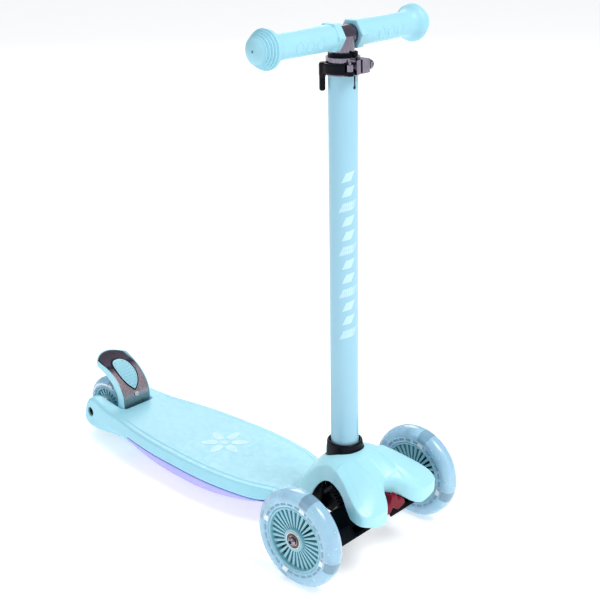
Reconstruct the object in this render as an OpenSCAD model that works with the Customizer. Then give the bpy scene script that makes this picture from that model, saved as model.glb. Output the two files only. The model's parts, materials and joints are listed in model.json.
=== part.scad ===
// Child's lean-to-steer kick scooter: two wheels in front, one behind.
// The scooter stands on z = 0, travels towards -Y and has the rider's left at +X.
// Shapes are drawn from the front axle (y = 0 there) and moved to the middle of the length.

/* [Overall] */
// Distance between the front and rear axles
wheelbase = 467; // [455:1:480]
// Distance between the middle planes of the two front wheels
track = 217; // [215:1:222]
// Height of the handlebar axis above the ground, bar fully down
bar_height = 614; // [610:1:625]
// Overall length of the handlebar over both grips
bar_length = 276; // [260:1:300]

/* [Wheels] */
// Radius of a front wheel
front_r = 60; // [58:0.5:61]
// Radius of the rear wheel
rear_r = 40; // [38:0.5:41]
// Width of every tyre
tyre_w = 24; // [22:0.5:25]
// Number of spokes in a front hub
front_spokes = 30; // [12:1:36]
// Number of spokes in the rear hub
rear_spokes = 18; // [8:1:24]

/* [Column] */
// Outer radius of the steering column
column_r = 16.7; // [16:0.1:17]
// Wall thickness of the steering column
column_wall = 1.5; // [1.2:0.1:2]
// Backward lean of the column, in degrees
rake = 1.31; // [0:0.01:3]
// Distance of the column axis behind the front axle, at ground level
column_foot_y = 23.6; // [22:0.1:25]
// Length along the axis from the ground to the top of the column
column_top = 592; // [585:1:600]
// Outer radius of the sliding stem tube
stem_r = 12.7; // [12:0.1:13]
// Length of the stem tube held inside the column when the bar is down
stem_inside = 380; // [300:5:420]
// Outer radius of the handlebar cross tube
crossbar_r = 11; // [10:0.5:12]

/* [Deck] */
// Height of the standing surface
deck_z = 57; // [56:0.5:58]
// Greatest half width of the deck
deck_half_w = 69; // [66:0.5:72]
// Wall thickness of the deck moulding
deck_wall = 4; // [3:0.5:5]
// Lowest height of the belly shell
keel_z = 15.8; // [13:0.1:18]
// Half width of the slot for the rear wheel
slot_half_w = 26.5; // [26:0.1:28]

/* [Steering] */
// Angle of the kingpin from the vertical, leaning forward going up
pin_tilt = 45; // [40:1:48]
// Height at which the kingpin crosses the plane of the front axle
pin_z = 54; // [52:0.5:55]

/* [Brake] */
// Distance of the brake hinge in front of the rear axle
hinge_ahead = 50.5; // [50:0.1:52]
// Height of the brake hinge
hinge_z = 47; // [46:0.5:48]
// Travel of the brake pedal, in degrees
brake_travel = 12; // [8:1:12]

/* [Hidden] */
$fn = 64;
fit = 0.05;          // radial clearance of a running fit
gap = 0.3;           // clearance between faces that move past each other
horn_reach = 66.6;   // how far the front cover reaches ahead of the front axle
mid_y = (wheelbase + rear_r - horn_reach) / 2;
wheel_x = track / 2;

// ---------- frames of reference ----------

// From the front axle's ground point to the middle of the overall length
module from_front_axle() translate([0, -mid_y, 0]) children();

// From the column's foot, with the column axis as Z
module on_column() from_front_axle() translate([0, column_foot_y, 0]) rotate([-rake, 0, 0]) children();

// From the middle of the steering hub, with the kingpin as Z
module on_kingpin() from_front_axle() translate([0, 0, pin_z]) rotate([pin_tilt, 0, 0]) children();

// From the middle of the rear axle
module at_rear_axle() from_front_axle() translate([0, wheelbase, rear_r]) children();

// From the middle of a front wheel: side is +1 for the left wheel and -1 for the right one
module at_front_wheel(side) from_front_axle() translate([side * wheel_x, 0, front_r]) children();

// Both sides of the middle plane
module both_sides() for (side = [-1, 1]) scale_x(side) children();
module scale_x(side) if (side < 0) mirror([1, 0, 0]) children(); else children();

// ---------- small shared shapes ----------

// A cylinder along X, starting at x = from and ending at x = to
module bar_x(r, from, to) translate([from, 0, 0]) rotate([0, 90, 0]) cylinder(r = r, h = to - from);

// A YZ outline pushed out equally to both sides of the middle plane
module slab_x(outline, half_w)
    translate([-half_w, 0, 0]) rotate([90, 0, 90]) linear_extrude(2 * half_w) polygon(outline);

// A rectangle with round corners, centred
module rounded_rect(w, d, r) {
    square([w - 2 * r, d], center = true);
    square([w, d - 2 * r], center = true);
    for (i = [-1, 1], j = [-1, 1]) translate([i * (w / 2 - r), j * (d / 2 - r)]) circle(r);
}

// A screw along +Z: its head lies below z = 0 and its shank above
module screw(r, length, head_r, head_h, socket_r) {
    difference() {
        union() {
            translate([0, 0, -head_h]) cylinder(r = head_r, h = head_h);
            cylinder(r = r, h = length);
        }
        translate([0, 0, -head_h - 1]) cylinder(r = socket_r, h = head_h / 2 + 1, $fn = 6);
    }
}

// A closed coil spring along Z, from z = 0 to z = length
module coil_spring(r, wire, turns, length) {
    per_turn = 12;
    steps = turns * per_turn;
    sides = 6;
    rise = (length - 2 * wire) / steps;
    rings = [for (i = [0:steps]) let(a = i * 360 / per_turn) [
        for (j = [0:sides - 1]) let(b = j * 360 / sides)
            [(r + wire * cos(b)) * cos(a), (r + wire * cos(b)) * sin(a), wire + i * rise + wire * sin(b)]]];
    points = [for (ring = rings, p = ring) p];
    walls = [for (i = [0:steps - 1], j = [0:sides - 1]) let(k = (j + 1) % sides)
        [i * sides + j, (i + 1) * sides + j, (i + 1) * sides + k, i * sides + k]];
    ends = [[for (j = [0:sides - 1]) j], [for (j = [sides - 1:-1:0]) steps * sides + j]];
    polyhedron(points, concat(walls, ends), convexity = 10);
}

// Points of an outline moved sideways by d, to the left of the way they run
function side_way(p, i) = let(t = p[min(i + 1, len(p) - 1)] - p[max(i - 1, 0)]) [-t[1], t[0]] / norm(t);
function moved(p, d) = [for (i = [0:len(p) - 1]) p[i] + d * side_way(p, i)];
function reversed(p) = [for (i = [len(p) - 1:-1:0]) p[i]];
// The strip between two such copies of an open outline
function strip(p, low, high) = concat(moved(p, low), reversed(moved(p, high)));
// A half outline, given as half width against y, closed by its mirror image
function two_sided(half) = concat(half, [for (p = reversed(half)) [-p[0], p[1]]]);

// ---------- deck ----------

slot_front_y = wheelbase - 58.3;   // front wall of the rear wheel's slot
belly_back_y = 371.5;              // where the belly shell ends and the deck goes full depth
belly_front_y = 108;
rim_z = 37;                        // lower edge of the deck's side wall, top edge of the belly
deck_front_y = 66;
axle_head_r = 5.2;                 // head of the rear axle bolt, sunk in the deck's arms
seat_back_y = 101;                 // the front cover stands in a shallow seat that ends here
seat_z = deck_z - 0.6;             // level of that seat

// Half width of the deck along its length
function deck_outline(inset) = [for (p = [[38, deck_front_y], [46, 90], [52, 110], [59, 130],
    [deck_half_w - 5, 155], [deck_half_w - 1.5, 185], [deck_half_w, 220], [deck_half_w - 1.5, 265],
    [deck_half_w - 4.5, 312], [deck_half_w - 9.5, 350], [deck_half_w - 17, 393], [47.5, 427],
    [42.5, wheelbase - 10], [39.5, wheelbase + 12], [36, wheelbase + 21]])
    [p[0] - inset, p[1]]];

// Lower edge of the belly along its length
function keel(y) = keel_z + 12 * pow(abs(y - 262) / 130, 2.2);

// Side outline of the whole deck, from the front along the top and back underneath
function deck_side() = [[deck_front_y, deck_z], [wheelbase - 52, deck_z], [wheelbase - 27, deck_z + 3],
    [wheelbase - 9, deck_z + 6.5], [wheelbase + 1, deck_z + 4], [wheelbase + 9, deck_z - 3],
    [wheelbase + 16, deck_z - 15], [wheelbase + 21, deck_z - 28], [wheelbase + 18, 22],
    [wheelbase + 6, 17], [wheelbase - 8, 16.5], [wheelbase - 34, 19.8], [wheelbase - 62, 23],
    [belly_back_y, keel(belly_back_y)],
    [belly_back_y, rim_z], [120, rim_z], [100, 42], [deck_front_y, 46]];

screw_places = [[30, 160], [34, 262], [30, 348]];
bolt_places = [[22, 82], [22, 104]];
pin_reach = 33;                    // how far the brake hinge pin reaches from the middle plane
tongue_z = [40, 46];               // bottom and top of the steering head's tongue under the deck
tongue_half_w = 30;

module deck_hollow() {
    for (span = [[deck_front_y + 4, belly_back_y], [belly_back_y + 4, slot_front_y - 8]])
        intersection() {
            translate([0, 0, -1]) linear_extrude(deck_z - deck_wall + 1) polygon(two_sided(deck_outline(deck_wall)));
            translate([-100, span[0], -1]) cube([200, span[1] - span[0], 100]);
        }
    translate([-tongue_half_w - 1, 0, 0]) cube([2 * tongue_half_w + 2, deck_front_y + 5, deck_z - deck_wall]);
}

module deck_ribs() {
    for (x = [-12, 12]) translate([x - 1.5, deck_front_y + 50, rim_z + 4]) cube([3, 252, deck_z - rim_z - 6]);
    for (y = [130:40:360])
        intersection() {
            translate([-100, y, rim_z + 4]) cube([200, 3, deck_z - rim_z - 6]);
            linear_extrude(100) polygon(two_sided(deck_outline(deck_wall - 1)));
        }
    both_sides() for (p = screw_places) translate([p[0], p[1], rim_z]) cylinder(r = 5, h = deck_z - rim_z - 2);
    both_sides() for (p = bolt_places)
        translate([p[0], p[1], tongue_z[1]]) cylinder(r = 6, h = deck_z - tongue_z[1] - 2);
}

module deck() {
    color([0.68, 0.9, 0.99])
    from_front_axle() difference() {
        union() {
            difference() {
                intersection() {
                    linear_extrude(100) polygon(two_sided(deck_outline(0)));
                    slab_x(deck_side(), 100);
                }
                deck_hollow();
            }
            deck_ribs();
        }
        translate([-deck_half_w, 0, seat_z]) cube([2 * deck_half_w, seat_back_y, 10]);
        translate([0, slot_front_y + 100, -1]) linear_extrude(100) rounded_rect(2 * slot_half_w, 200, 7);
        translate([0, wheelbase, rear_r]) {
            bar_x(4 + fit, -60, 60);
            both_sides() bar_x(axle_head_r + gap, 35, 60);
        }
        translate([0, wheelbase - hinge_ahead, hinge_z]) bar_x(2.5, -pin_reach, pin_reach);
        both_sides() for (p = screw_places) translate([p[0], p[1], rim_z - 1]) cylinder(r = 1.9, h = 13);
        both_sides() for (p = bolt_places) translate([p[0], p[1], tongue_z[1] - 1]) cylinder(r = 2, h = 8);
    }
}

belly_inset = 1;
belly_wall = 3;

// Side outline of the belly: top edge straight, lower edge along the keel
function belly_side(lift, trim) = let(a = belly_front_y + trim, b = belly_back_y - gap - trim)
    concat([[b, rim_z + lift], [a, rim_z + lift]], [for (i = [0:20]) let(y = a + i * (b - a) / 20)
        [y, min(keel(y) + trim, rim_z - 0.5 + lift)]]);

module deck_belly() {
    color([0.7, 0.68, 0.97])
    from_front_axle() difference() {
        union() {
            difference() {
                intersection() {
                    linear_extrude(100) polygon(two_sided(deck_outline(belly_inset)));
                    slab_x(belly_side(0, 0), 100);
                }
                intersection() {
                    linear_extrude(100) polygon(two_sided(deck_outline(belly_inset + belly_wall)));
                    slab_x(belly_side(1, belly_wall), 100);
                }
            }
            both_sides() for (p = screw_places)
                translate([p[0], p[1], keel(p[1]) + 1]) cylinder(r = 6, h = rim_z - keel(p[1]) - 1);
        }
        both_sides() for (p = screw_places) translate([p[0], p[1], 0]) {
            cylinder(r = 4, h = rim_z - 4);
            cylinder(r = 2, h = 100);
        }
    }
}

module belly_screws() {
    color([0.75, 0.76, 0.78])
    from_front_axle() both_sides() for (p = screw_places)
        translate([p[0], p[1], rim_z - 4]) screw(1.9, 14, 3.6, 2.4, 1.5);
}

// ---------- steering head under the front cover ----------

socket_r = 21;                     // outside of the socket that holds the column
socket_foot = 72;                  // where the column stands in it, along the column axis
socket_top = 110;
shelf_z = [100, 104];              // the shelf that the cover is screwed to
lug_r = 12;
lug_span = [17, 24];               // both kingpin lugs, measured from the hub's middle
web_half_w = 12;
pad_u = 34;                        // face of the spring pads, above the hub's middle
sweep_u = 16;                      // room that the turning truck needs, above the kingpin
spring_x = 27;
spring_r = 5;
spring_n = 4;
latch_s = 84;                      // height of the latch along the column axis
latch_r = 4;
boss_places = [[26, 2, 121], [20, 42, 111]];   // x, y and top of the cover's screw bosses

module kingpin_lugs() on_kingpin() for (n = [lug_span[0], -lug_span[1]]) translate([0, 0, n]) {
    cylinder(r = lug_r, h = lug_span[1] - lug_span[0]);
    translate([-lug_r, 0, 0]) cube([2 * lug_r, 22, lug_span[1] - lug_span[0]]);
}

module head_web() from_front_axle()
    slab_x([[-6, pin_z + 28], [28, pin_z - 6], [36, tongue_z[0] - 3], [60, tongue_z[0]],
        [60, tongue_z[1] + 7], [47, tongue_z[1] + 20], [43, shelf_z[0]], [3, shelf_z[0]]], web_half_w);

module spring_pads() on_kingpin() both_sides()
    translate([10, pad_u, spring_n - 9]) cube([24, 4, 18]);

module head_block() {
    color([0.07, 0.07, 0.08])
    difference() {
        union() {
            on_column() translate([0, 0, socket_foot - 8]) cylinder(r = socket_r, h = socket_top - socket_foot + 8);
            kingpin_lugs();
            head_web();
            spring_pads();
            from_front_axle() {
                translate([-30, -5, shelf_z[0]]) cube([60, 50, shelf_z[1] - shelf_z[0]]);
                translate([-tongue_half_w, 44, tongue_z[0]])
                    cube([2 * tongue_half_w, 70, tongue_z[1] - tongue_z[0]]);
                for (x = [-29, 25]) translate([x, 22, tongue_z[1] - 1]) slab_edge();
            }
        }
        on_column() translate([0, 0, socket_foot]) cylinder(r = column_r + fit, h = 100);
        on_kingpin() {
            translate([0, 0, -40]) cylinder(r = 4, h = 80);
            translate([-25, sweep_u - 40, -lug_span[0]]) cube([50, 40, 2 * lug_span[0]]);
        }
        on_column() translate([0, 0, latch_s]) rotate([90, 0, 0]) cylinder(r = latch_r + fit, h = 40);
        from_front_axle() both_sides() {
            for (p = bolt_places) translate([p[0], p[1], 0]) cylinder(r = 2, h = 60);
            for (p = boss_places) translate([p[0], p[1], 90]) cylinder(r = 1.7, h = 20);
        }
    }
}

// A side rib between the tongue and the cover's shelf
module slab_edge() rotate([90, 0, 90]) linear_extrude(4)
    polygon([[22, 0], [36, 0], [21, shelf_z[0] - tongue_z[1] + 2], [9, shelf_z[0] - tongue_z[1] + 2]]);

module head_bolts() {
    color([0.75, 0.76, 0.78])
    from_front_axle() both_sides() for (p = bolt_places)
        translate([p[0], p[1], tongue_z[0]]) screw(2, 12, 4, 3, 1.7);
}

// ---------- front cover ----------

cover_wall = 3;
cover_z = 128;                     // crown of the cover, just ahead of the column
collar_s = 110.3;                  // lower edge of the collar, inside the cover
collar_r = 22.4;
boss_bore = 1.9;

// Half width of the cover against y: a waist beside the column and two horns in front
cover_half = [[39.5, 98], [40, 52], [38.5, 38], [38, 26], [41, 11], [45.4, 1], [49.5, -9], [53.5, -18],
    [57.7, -26], [61.7, -34.5], [65.2, -42.5], [67.3, -50.5], [66.8, -58], [62.4, -64.5], [56, -66.4],
    [40, -horn_reach], [32, -65], [26, -60.5], [20.2, -54], [15, -47], [8, -40], [3, -37.3]];

// Height of the cover's middle, from the back to the horns
cover_top = [[98, cover_z + 6], [20, cover_z + 4], [4, cover_z], [-8, cover_z - 1],
    [-22, cover_z - 6.5], [-34, 115.5], [-46, 107.5], [-57, 98.5], [-64, 91], [-horn_reach, 87]];

// Height of the cover's crown against its half width
cover_crown = [[4, cover_z + 0.8], [12, cover_z], [24, cover_z - 3.5], [34, cover_z - 8], [44, cover_z - 13],
    [56, cover_z - 20], [68, cover_z - 27]];

// Slope behind the column, as radius about the crown against height
crown_y = 4;
cover_slope = [[0, cover_z + 2], [30, cover_z - 4], [38, 119], [44, 114.5], [50, 109], [56, 102], [62, 93.5],
    [68, 84], [74, 74.5], [80, 66], [86, 60.5], [91, seat_z]];

// Lower edge of the side walls, arched over the wheels
cover_edge = [[-horn_reach, 77], [-55, 76], [-45, 75], [-36, 76.5], [-30, 80], [-22, 86.5], [-13, 93],
    [-3, 96.5], [10, 97], [20, 96], [28, 92.5], [35, 86], [40, 79], [44, 71.5], [48, 62], [50, seat_z]];

module cover_block(inset) intersection() {
    linear_extrude(140) polygon(two_sided(moved(cover_half, -inset)));
    slab_x(concat([for (p = cover_top) [p[0], p[1] - inset]], [[-horn_reach, 0], [98, 0]]), 100);
    translate([0, 100, 0]) rotate([90, 0, 0]) linear_extrude(200)
        polygon(two_sided(concat([for (p = cover_crown) [p[0], p[1] - inset]], [[68, 0]])));
    intersection_for(a = [-72:18:72]) translate([0, crown_y, 0]) rotate([0, 0, a])
        slab_x(concat([[-150, 135]], [for (p = cover_slope) [p[0] - inset, p[1] - inset]],
            [[91 - inset, 0], [-150, 0]]), 150);
}

module front_cover() {
    color([0.68, 0.93, 0.99])
    from_front_axle() difference() {
        union() {
            difference() {
                cover_block(0);
                cover_block(cover_wall);
            }
            both_sides() for (p = boss_places)
                translate([p[0], p[1], shelf_z[1]]) cylinder(r = 4, h = p[2] - shelf_z[1]);
        }
        slab_x(concat(cover_edge, [[98, seat_z], [98, 0], [-80, 0], [-80, 77]]), 100);
        slab_x([[-80, 69], [-60, 73], [-49, 80], [-40, 89.5], [-30, 89.5], [-30, 0], [-80, 0]], 31);
        translate([0, column_foot_y + 2.7, 90]) cylinder(r = collar_r + 0.5, h = 50);
        both_sides() for (p = boss_places) translate([p[0], p[1], 90]) cylinder(r = boss_bore, h = p[2] - 92);
    }
}

module cover_screws() {
    color([0.75, 0.76, 0.78])
    from_front_axle() both_sides() for (p = boss_places)
        translate([p[0], p[1], shelf_z[0]]) screw(1.7, 8, 3.4, 2.4, 1.4);
}

// ---------- latch that lets the column be pulled out ----------

button_y = -51;                    // front face of the release button
latch_foot_y = column_foot_y + latch_s * sin(rake);
latch_z = latch_s * cos(rake);
latch_face = column_r + 4;         // outer end of the latch pin, from the column axis

module at_latch() from_front_axle() translate([0, latch_foot_y, latch_z]) rotate([90 - rake, 0, 0]) children();

module release_button() {
    color([0.65, 0.1, 0.22])
    union() {
        from_front_axle() difference() {
            union() {
                translate([-21, button_y, 64]) cube([42, 7, 13]);
                translate([-6, button_y, 76]) cube([12, 7, 13]);
            }
            translate([-2, button_y - 1, 63]) cube([4, 9, 4]);
        }
        at_latch() translate([0, 0, latch_face]) cylinder(r = 2.5, h = latch_foot_y - button_y - 3 - latch_face);
    }
}

module latch_pin() {
    color([0.75, 0.76, 0.78])
    at_latch() {
        translate([0, 0, column_r - 6]) cylinder(r = latch_r, h = latch_face - column_r + 6);
        translate([0, 0, column_r - 8]) cylinder(r = latch_r + 1.5, h = 2.01);
    }
}

module latch_spring() {
    color([0.75, 0.76, 0.78])
    at_latch() translate([0, 0, -14.5]) coil_spring(3.4, 0.5, 6, column_r - 8 + 14.5);
}

// ---------- column and height clamp ----------

slit_half_w = 1.4;
keyhole_s = 560;
band_s = [573, column_top];
band_r = 18.9;
bolt_fwd = 21.5;                   // clamp bolt's distance ahead of the column axis
bolt_s = 583;
ear_x = [8, 13.5];                 // outer faces of the right and left ears
ear_fwd = 26.5;
cam_x = -13.5;                     // vertical cam pin of the lever
lever_s = [574.5, 589.5];
eye_s = [579.5, 586.5];

module column() {
    color([0.64, 0.86, 0.98])
    on_column() difference() {
        translate([0, 0, socket_foot]) cylinder(r = column_r, h = column_top - socket_foot);
        translate([0, 0, socket_foot - 1]) cylinder(r = column_r - column_wall, h = column_top);
        translate([-slit_half_w, -column_r - 1, keyhole_s]) cube([2 * slit_half_w, 6, 60]);
        translate([0, -column_r + 4, keyhole_s]) rotate([90, 0, 0]) cylinder(r = 2.4, h = 8);
        translate([0, 0, latch_s]) rotate([90, 0, 0]) cylinder(r = latch_r + fit, h = 40);
    }
}

module column_collar() {
    color([0.06, 0.06, 0.07])
    on_column() translate([0, 0, collar_s]) rotate_extrude()
        polygon([[column_r + fit, 0], [collar_r, 0], [collar_r, 14], [21.4, 24.8], [20, 26.2], [19, 25.8],
            [column_r + 1, 21], [column_r + fit, 19.5]]);
}

module column_bush() {
    color([0.06, 0.06, 0.07])
    on_column() difference() {
        union() {
            translate([0, 0, column_top - 55]) cylinder(r = column_r - column_wall, h = 55);
            translate([0, 0, column_top]) cylinder(r = column_r - 0.4, h = 4.5);
            translate([-slit_half_w, -column_r + 0.5, column_top - 25]) cube([2 * slit_half_w, 3, 29]);
            translate([0, -column_r + 3, column_top + 3.5]) rotate([90, 0, 0]) cylinder(r = 2.8, h = 4);
        }
        translate([0, 0, column_top - 60]) cylinder(r = stem_r + 0.08, h = 80);
        translate([-0.6, 0, column_top - 60]) cube([1.2, 30, 50]);
    }
}

module clamp_band() {
    color([0.8, 0.79, 0.84])
    on_column() difference() {
        union() {
            translate([0, 0, band_s[0]]) cylinder(r = band_r, h = band_s[1] - band_s[0]);
            translate([-ear_x[0], -ear_fwd, bolt_s - 7.5]) cube([ear_x[0], 14, 15]);
            translate([0, -ear_fwd, bolt_s - 7.5]) cube([ear_x[1], 14, 15]);
        }
        translate([0, 0, band_s[0] - 1]) cylinder(r = column_r, h = 40);
        translate([-slit_half_w, -40, band_s[0] - 1]) cube([2 * slit_half_w, 40, 40]);
        translate([0, -bolt_fwd, bolt_s]) bar_x(2.5, -20, 20);
    }
}

module clamp_bolt() {
    color([0.8, 0.79, 0.84])
    on_column() translate([0, -bolt_fwd, bolt_s]) difference() {
        union() {
            bar_x(2.5, cam_x, 20);
            translate([cam_x, 0, eye_s[0] - bolt_s]) cylinder(r = 3.6, h = eye_s[1] - eye_s[0]);
        }
        translate([cam_x, 0, -10]) cylinder(r = 1.5, h = 20);
    }
}

module clamp_nut() {
    color([0.8, 0.79, 0.84])
    on_column() translate([0, -bolt_fwd, bolt_s]) difference() {
        union() {
            translate([14.6, 0, 0]) rotate([0, 90, 0]) cylinder(r = 6, h = 4.4, $fn = 6);
            translate([18, 0, 0]) intersection() {
                sphere(r = 5.6);
                bar_x(8, 0, 8);
            }
        }
        bar_x(2.5, 10, 20);
    }
}

module clamp_washers() {
    color([0.8, 0.79, 0.84])
    on_column() translate([0, -bolt_fwd, bolt_s]) for (span = [[13.5, 14.6], [-8.5, -8]])
        difference() {
            bar_x(4.3, span[0], span[1]);
            bar_x(2.5, -20, 20);
        }
}

module lever_pin() {
    color([0.8, 0.79, 0.84])
    on_column() translate([cam_x, -bolt_fwd, lever_s[0]]) cylinder(r = 1.5, h = lever_s[1] - lever_s[0]);
}

lever_r = [19.4, 23.4];
lever_from = 133;                  // the lever runs round the column between these bearings
lever_to = 236;
hook_s = 555.5;                    // lower end of the lever's hooked tail

module ring_sector(r_in, r_out, from, to) difference() {
    circle(r_out);
    circle(r_in);
    polygon(concat([[0, 0]], [for (i = [0:6]) let(a = to + i * (from + 360 - to) / 6) 60 * [cos(a), sin(a)]]));
}

module clamp_lever() {
    color([0.04, 0.04, 0.05])
    on_column() difference() {
        union() {
            translate([0, 0, lever_s[0]]) linear_extrude(lever_s[1] - lever_s[0]) {
                ring_sector(lever_r[0], lever_r[1], lever_from, lever_to);
                translate([cam_x, -bolt_fwd]) circle(4.8);
            }
            translate([0, 0, hook_s]) linear_extrude(lever_s[0] - hook_s + 1)
                ring_sector(lever_r[0], lever_r[1], lever_from, lever_from + 14);
        }
        translate([cam_x, -bolt_fwd, eye_s[0] - gap]) cylinder(r = 5.2, h = eye_s[1] - eye_s[0] + 2 * gap);
        translate([cam_x, -bolt_fwd, 560]) cylinder(r = 1.5 + fit, h = 40);
    }
}

// ---------- front truck ----------

axle_u = (front_r - pin_z) * sin(pin_tilt);
axle_n = (front_r - pin_z) * cos(pin_tilt);
beam_end = wheel_x - tyre_w / 2 - 3.5;
hub_half = 15;

module truck_beam() {
    color([0.07, 0.07, 0.08])
    on_kingpin() difference() {
        union() {
            translate([0, 0, -hub_half]) cylinder(r = 14, h = 2 * hub_half);
            translate([-76, -14, -12]) cube([152, 25, 25]);
            both_sides() translate([34, -30, -2]) cube([28, 17, 34]);
            translate([0, axle_u, axle_n]) both_sides() bar_x(12, 60, beam_end);
        }
        translate([0, 0, -hub_half - 1]) cylinder(r = 6, h = 2 * hub_half + 2);
        both_sides() {
            translate([38, -26, 2]) cube([20, 9, 34]);
            translate([18, -10, -16]) cube([38, 17, 22]);
            translate([0, axle_u, axle_n]) bar_x(4, 62, beam_end + 1);
        }
    }
}

module truck_bushings() {
    color([0.85, 0.85, 0.82])
    on_kingpin() for (end = [0, 1]) mirror([0, 0, end]) difference() {
        union() {
            translate([0, 0, 2]) cylinder(r = 6, h = hub_half - 2);
            translate([0, 0, hub_half]) cylinder(r = 9, h = 1.2);
        }
        cylinder(r = 4 + fit, h = 30);
    }
}

module kingpin() {
    color([0.75, 0.76, 0.78])
    on_kingpin() translate([0, 0, lug_span[1] + 1.2]) rotate([180, 0, 0]) screw(4, 58, 6.8, 5, 3);
}

module kingpin_nut() {
    color([0.75, 0.76, 0.78])
    on_kingpin() translate([0, 0, -lug_span[1] - 1.2 - 6]) difference() {
        cylinder(r = 7.2, h = 6, $fn = 6);
        translate([0, 0, -1]) cylinder(r = 4, h = 8);
    }
}

module kingpin_washers() {
    color([0.75, 0.76, 0.78])
    on_kingpin() for (n = [lug_span[1], -lug_span[1] - 1.2]) translate([0, 0, n]) difference() {
        cylinder(r = 8, h = 1.2);
        translate([0, 0, -1]) cylinder(r = 4, h = 4);
    }
}

module steering_springs() {
    color([0.75, 0.76, 0.78])
    on_kingpin() for (x = [-spring_x, spring_x])
        translate([x, pad_u - 0.05, spring_n]) rotate([90, 0, 0]) coil_spring(spring_r, 0.9, 5, pad_u - 11.1);
}

module front_axle_bolts() {
    color([0.8, 0.79, 0.84])
    for (side = [-1, 1]) at_front_wheel(side) scale_x(-side) rotate([0, 90, 0])
        translate([0, 0, -tyre_w / 2 - gap]) dome_bolt(tyre_w / 2 + gap + wheel_x - 64);
}

// A dome-headed axle bolt along +Z with a hexagon socket in its head
module dome_bolt(length) difference() {
    union() {
        cylinder(r = 4, h = length);
        intersection() {
            translate([0, 0, 2.4]) sphere(r = 7);
            translate([0, 0, -4.6]) cylinder(r = 5.6, h = 4.6);
        }
    }
    translate([0, 0, -6]) cylinder(r = 2.5, h = 4, $fn = 6);
}

module front_axle_washers() {
    color([0.8, 0.79, 0.84])
    for (side = [-1, 1]) at_front_wheel(side) scale_x(-side) difference() {
        bar_x(6.5, tyre_w / 2 + gap, tyre_w / 2 + 3.5);
        bar_x(4, 0, 30);
    }
}

// ---------- wheels ----------

bearing_r = 11;
bearing_w = 7;
bead_r = 0.675;                    // inner radius of a tyre as a share of its outer radius

// Half section of a tyre: round tread, flat flanks
module tyre_section(r) {
    round_r = tyre_w / 2 - 1;
    intersection() {
        union() {
            translate([r - round_r, -1]) circle(round_r);
            translate([r - round_r, 1]) circle(round_r);
            translate([r * bead_r, -tyre_w / 2 + 0.6]) square([r - round_r - r * bead_r, tyre_w - 1.2]);
        }
        translate([r * bead_r, -tyre_w / 2]) square([r, tyre_w]);
    }
}

module light_blocks(r) for (a = [17:90:287])
    rotate([a, 0, 0]) translate([-5, -5, r * bead_r + 0.05]) cube([10, 10, 5]);

module tyre(r) color([0.66, 0.85, 0.97, 0.8]) difference() {
    rotate([0, 90, 0]) rotate_extrude() tyre_section(r);
    light_blocks(r);
}

module lights(r) color([0.95, 0.98, 1]) light_blocks(r);

module hub(r, spokes) {
    rim = r * bead_r;
    color([0.6, 0.85, 0.93])
    difference() {
        union() {
            difference() {
                bar_x(rim, -9, 9);
                bar_x(rim - 4, -10, 10);
            }
            bar_x(bearing_r + 3, -tyre_w / 2 + 0.2, tyre_w / 2 - 0.2);
            for (i = [0:spokes - 1]) rotate([i * 360 / spokes, 0, 0])
                translate([-7, -0.9, bearing_r + 1]) cube([14, 1.8, rim - bearing_r - 3]);
            bar_x(rim - 2, -1.5, 1.5);
        }
        both_sides() bar_x(bearing_r, tyre_w / 2 - bearing_w, tyre_w);
        bar_x(8.5, -tyre_w, tyre_w);
    }
}

module bearings() color([0.75, 0.76, 0.78]) both_sides() difference() {
    bar_x(bearing_r, tyre_w / 2 - bearing_w, tyre_w / 2);
    bar_x(4 + fit, 0, 30);
    difference() {
        bar_x(9, tyre_w / 2 - 0.5, tyre_w);
        bar_x(6.3, 0, 30);
    }
}

module spacer() color([0.8, 0.8, 0.82]) difference() {
    bar_x(6, -tyre_w / 2 + bearing_w, tyre_w / 2 - bearing_w);
    bar_x(4.3, -20, 20);
}

module left_tyre() at_front_wheel(1) tyre(front_r);
module left_hub() at_front_wheel(1) hub(front_r, front_spokes);
module left_bearings() at_front_wheel(1) bearings();
module left_spacer() at_front_wheel(1) spacer();
module left_lights() at_front_wheel(1) lights(front_r);
module right_tyre() at_front_wheel(-1) tyre(front_r);
module right_hub() at_front_wheel(-1) hub(front_r, front_spokes);
module right_bearings() at_front_wheel(-1) bearings();
module right_spacer() at_front_wheel(-1) spacer();
module right_lights() at_front_wheel(-1) lights(front_r);
module rear_tyre() at_rear_axle() tyre(rear_r);
module rear_hub() at_rear_axle() hub(rear_r, rear_spokes);
module rear_bearings() at_rear_axle() bearings();
module rear_spacer() at_rear_axle() spacer();
module rear_lights() at_rear_axle() lights(rear_r);

module rear_axle_bolt() {
    color([0.75, 0.76, 0.78])
    at_rear_axle() translate([-35, 0, 0]) rotate([0, 90, 0]) screw(4, 73, axle_head_r, 4, 2.6);
}

module rear_axle_nut() {
    color([0.75, 0.76, 0.78])
    at_rear_axle() difference() {
        bar_x(axle_head_r, 35, 39);
        bar_x(4, 30, 38);
        bar_x(2.6, 37, 40, $fn = 6);
    }
}

module rear_axle_sleeves() {
    color([0.1, 0.1, 0.11])
    at_rear_axle() both_sides() difference() {
        bar_x(6.5, tyre_w / 2 + gap, slot_half_w);
        bar_x(4, 0, 40);
    }
}

// ---------- brake ----------

fender_half_w = 25.6;
plate_half_w = 23;
plate_t = 1.5;
hinge_barrel_r = 6.3;

// Middle line of the pedal: an ellipse over the wheel with a flat tail
fender_line = concat([[wheelbase + 7 - 61.5, 52]], [for (t = [0:7:70]) [wheelbase + 7 - 61.5 * cos(t), 62 + 50.8 * sin(t)]],
    [[wheelbase + 3, 115.5]]);
pad_line = [for (i = [4:11]) fender_line[i]];

module at_hinge() from_front_axle() translate([0, wheelbase - hinge_ahead, hinge_z]) children();

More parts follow.
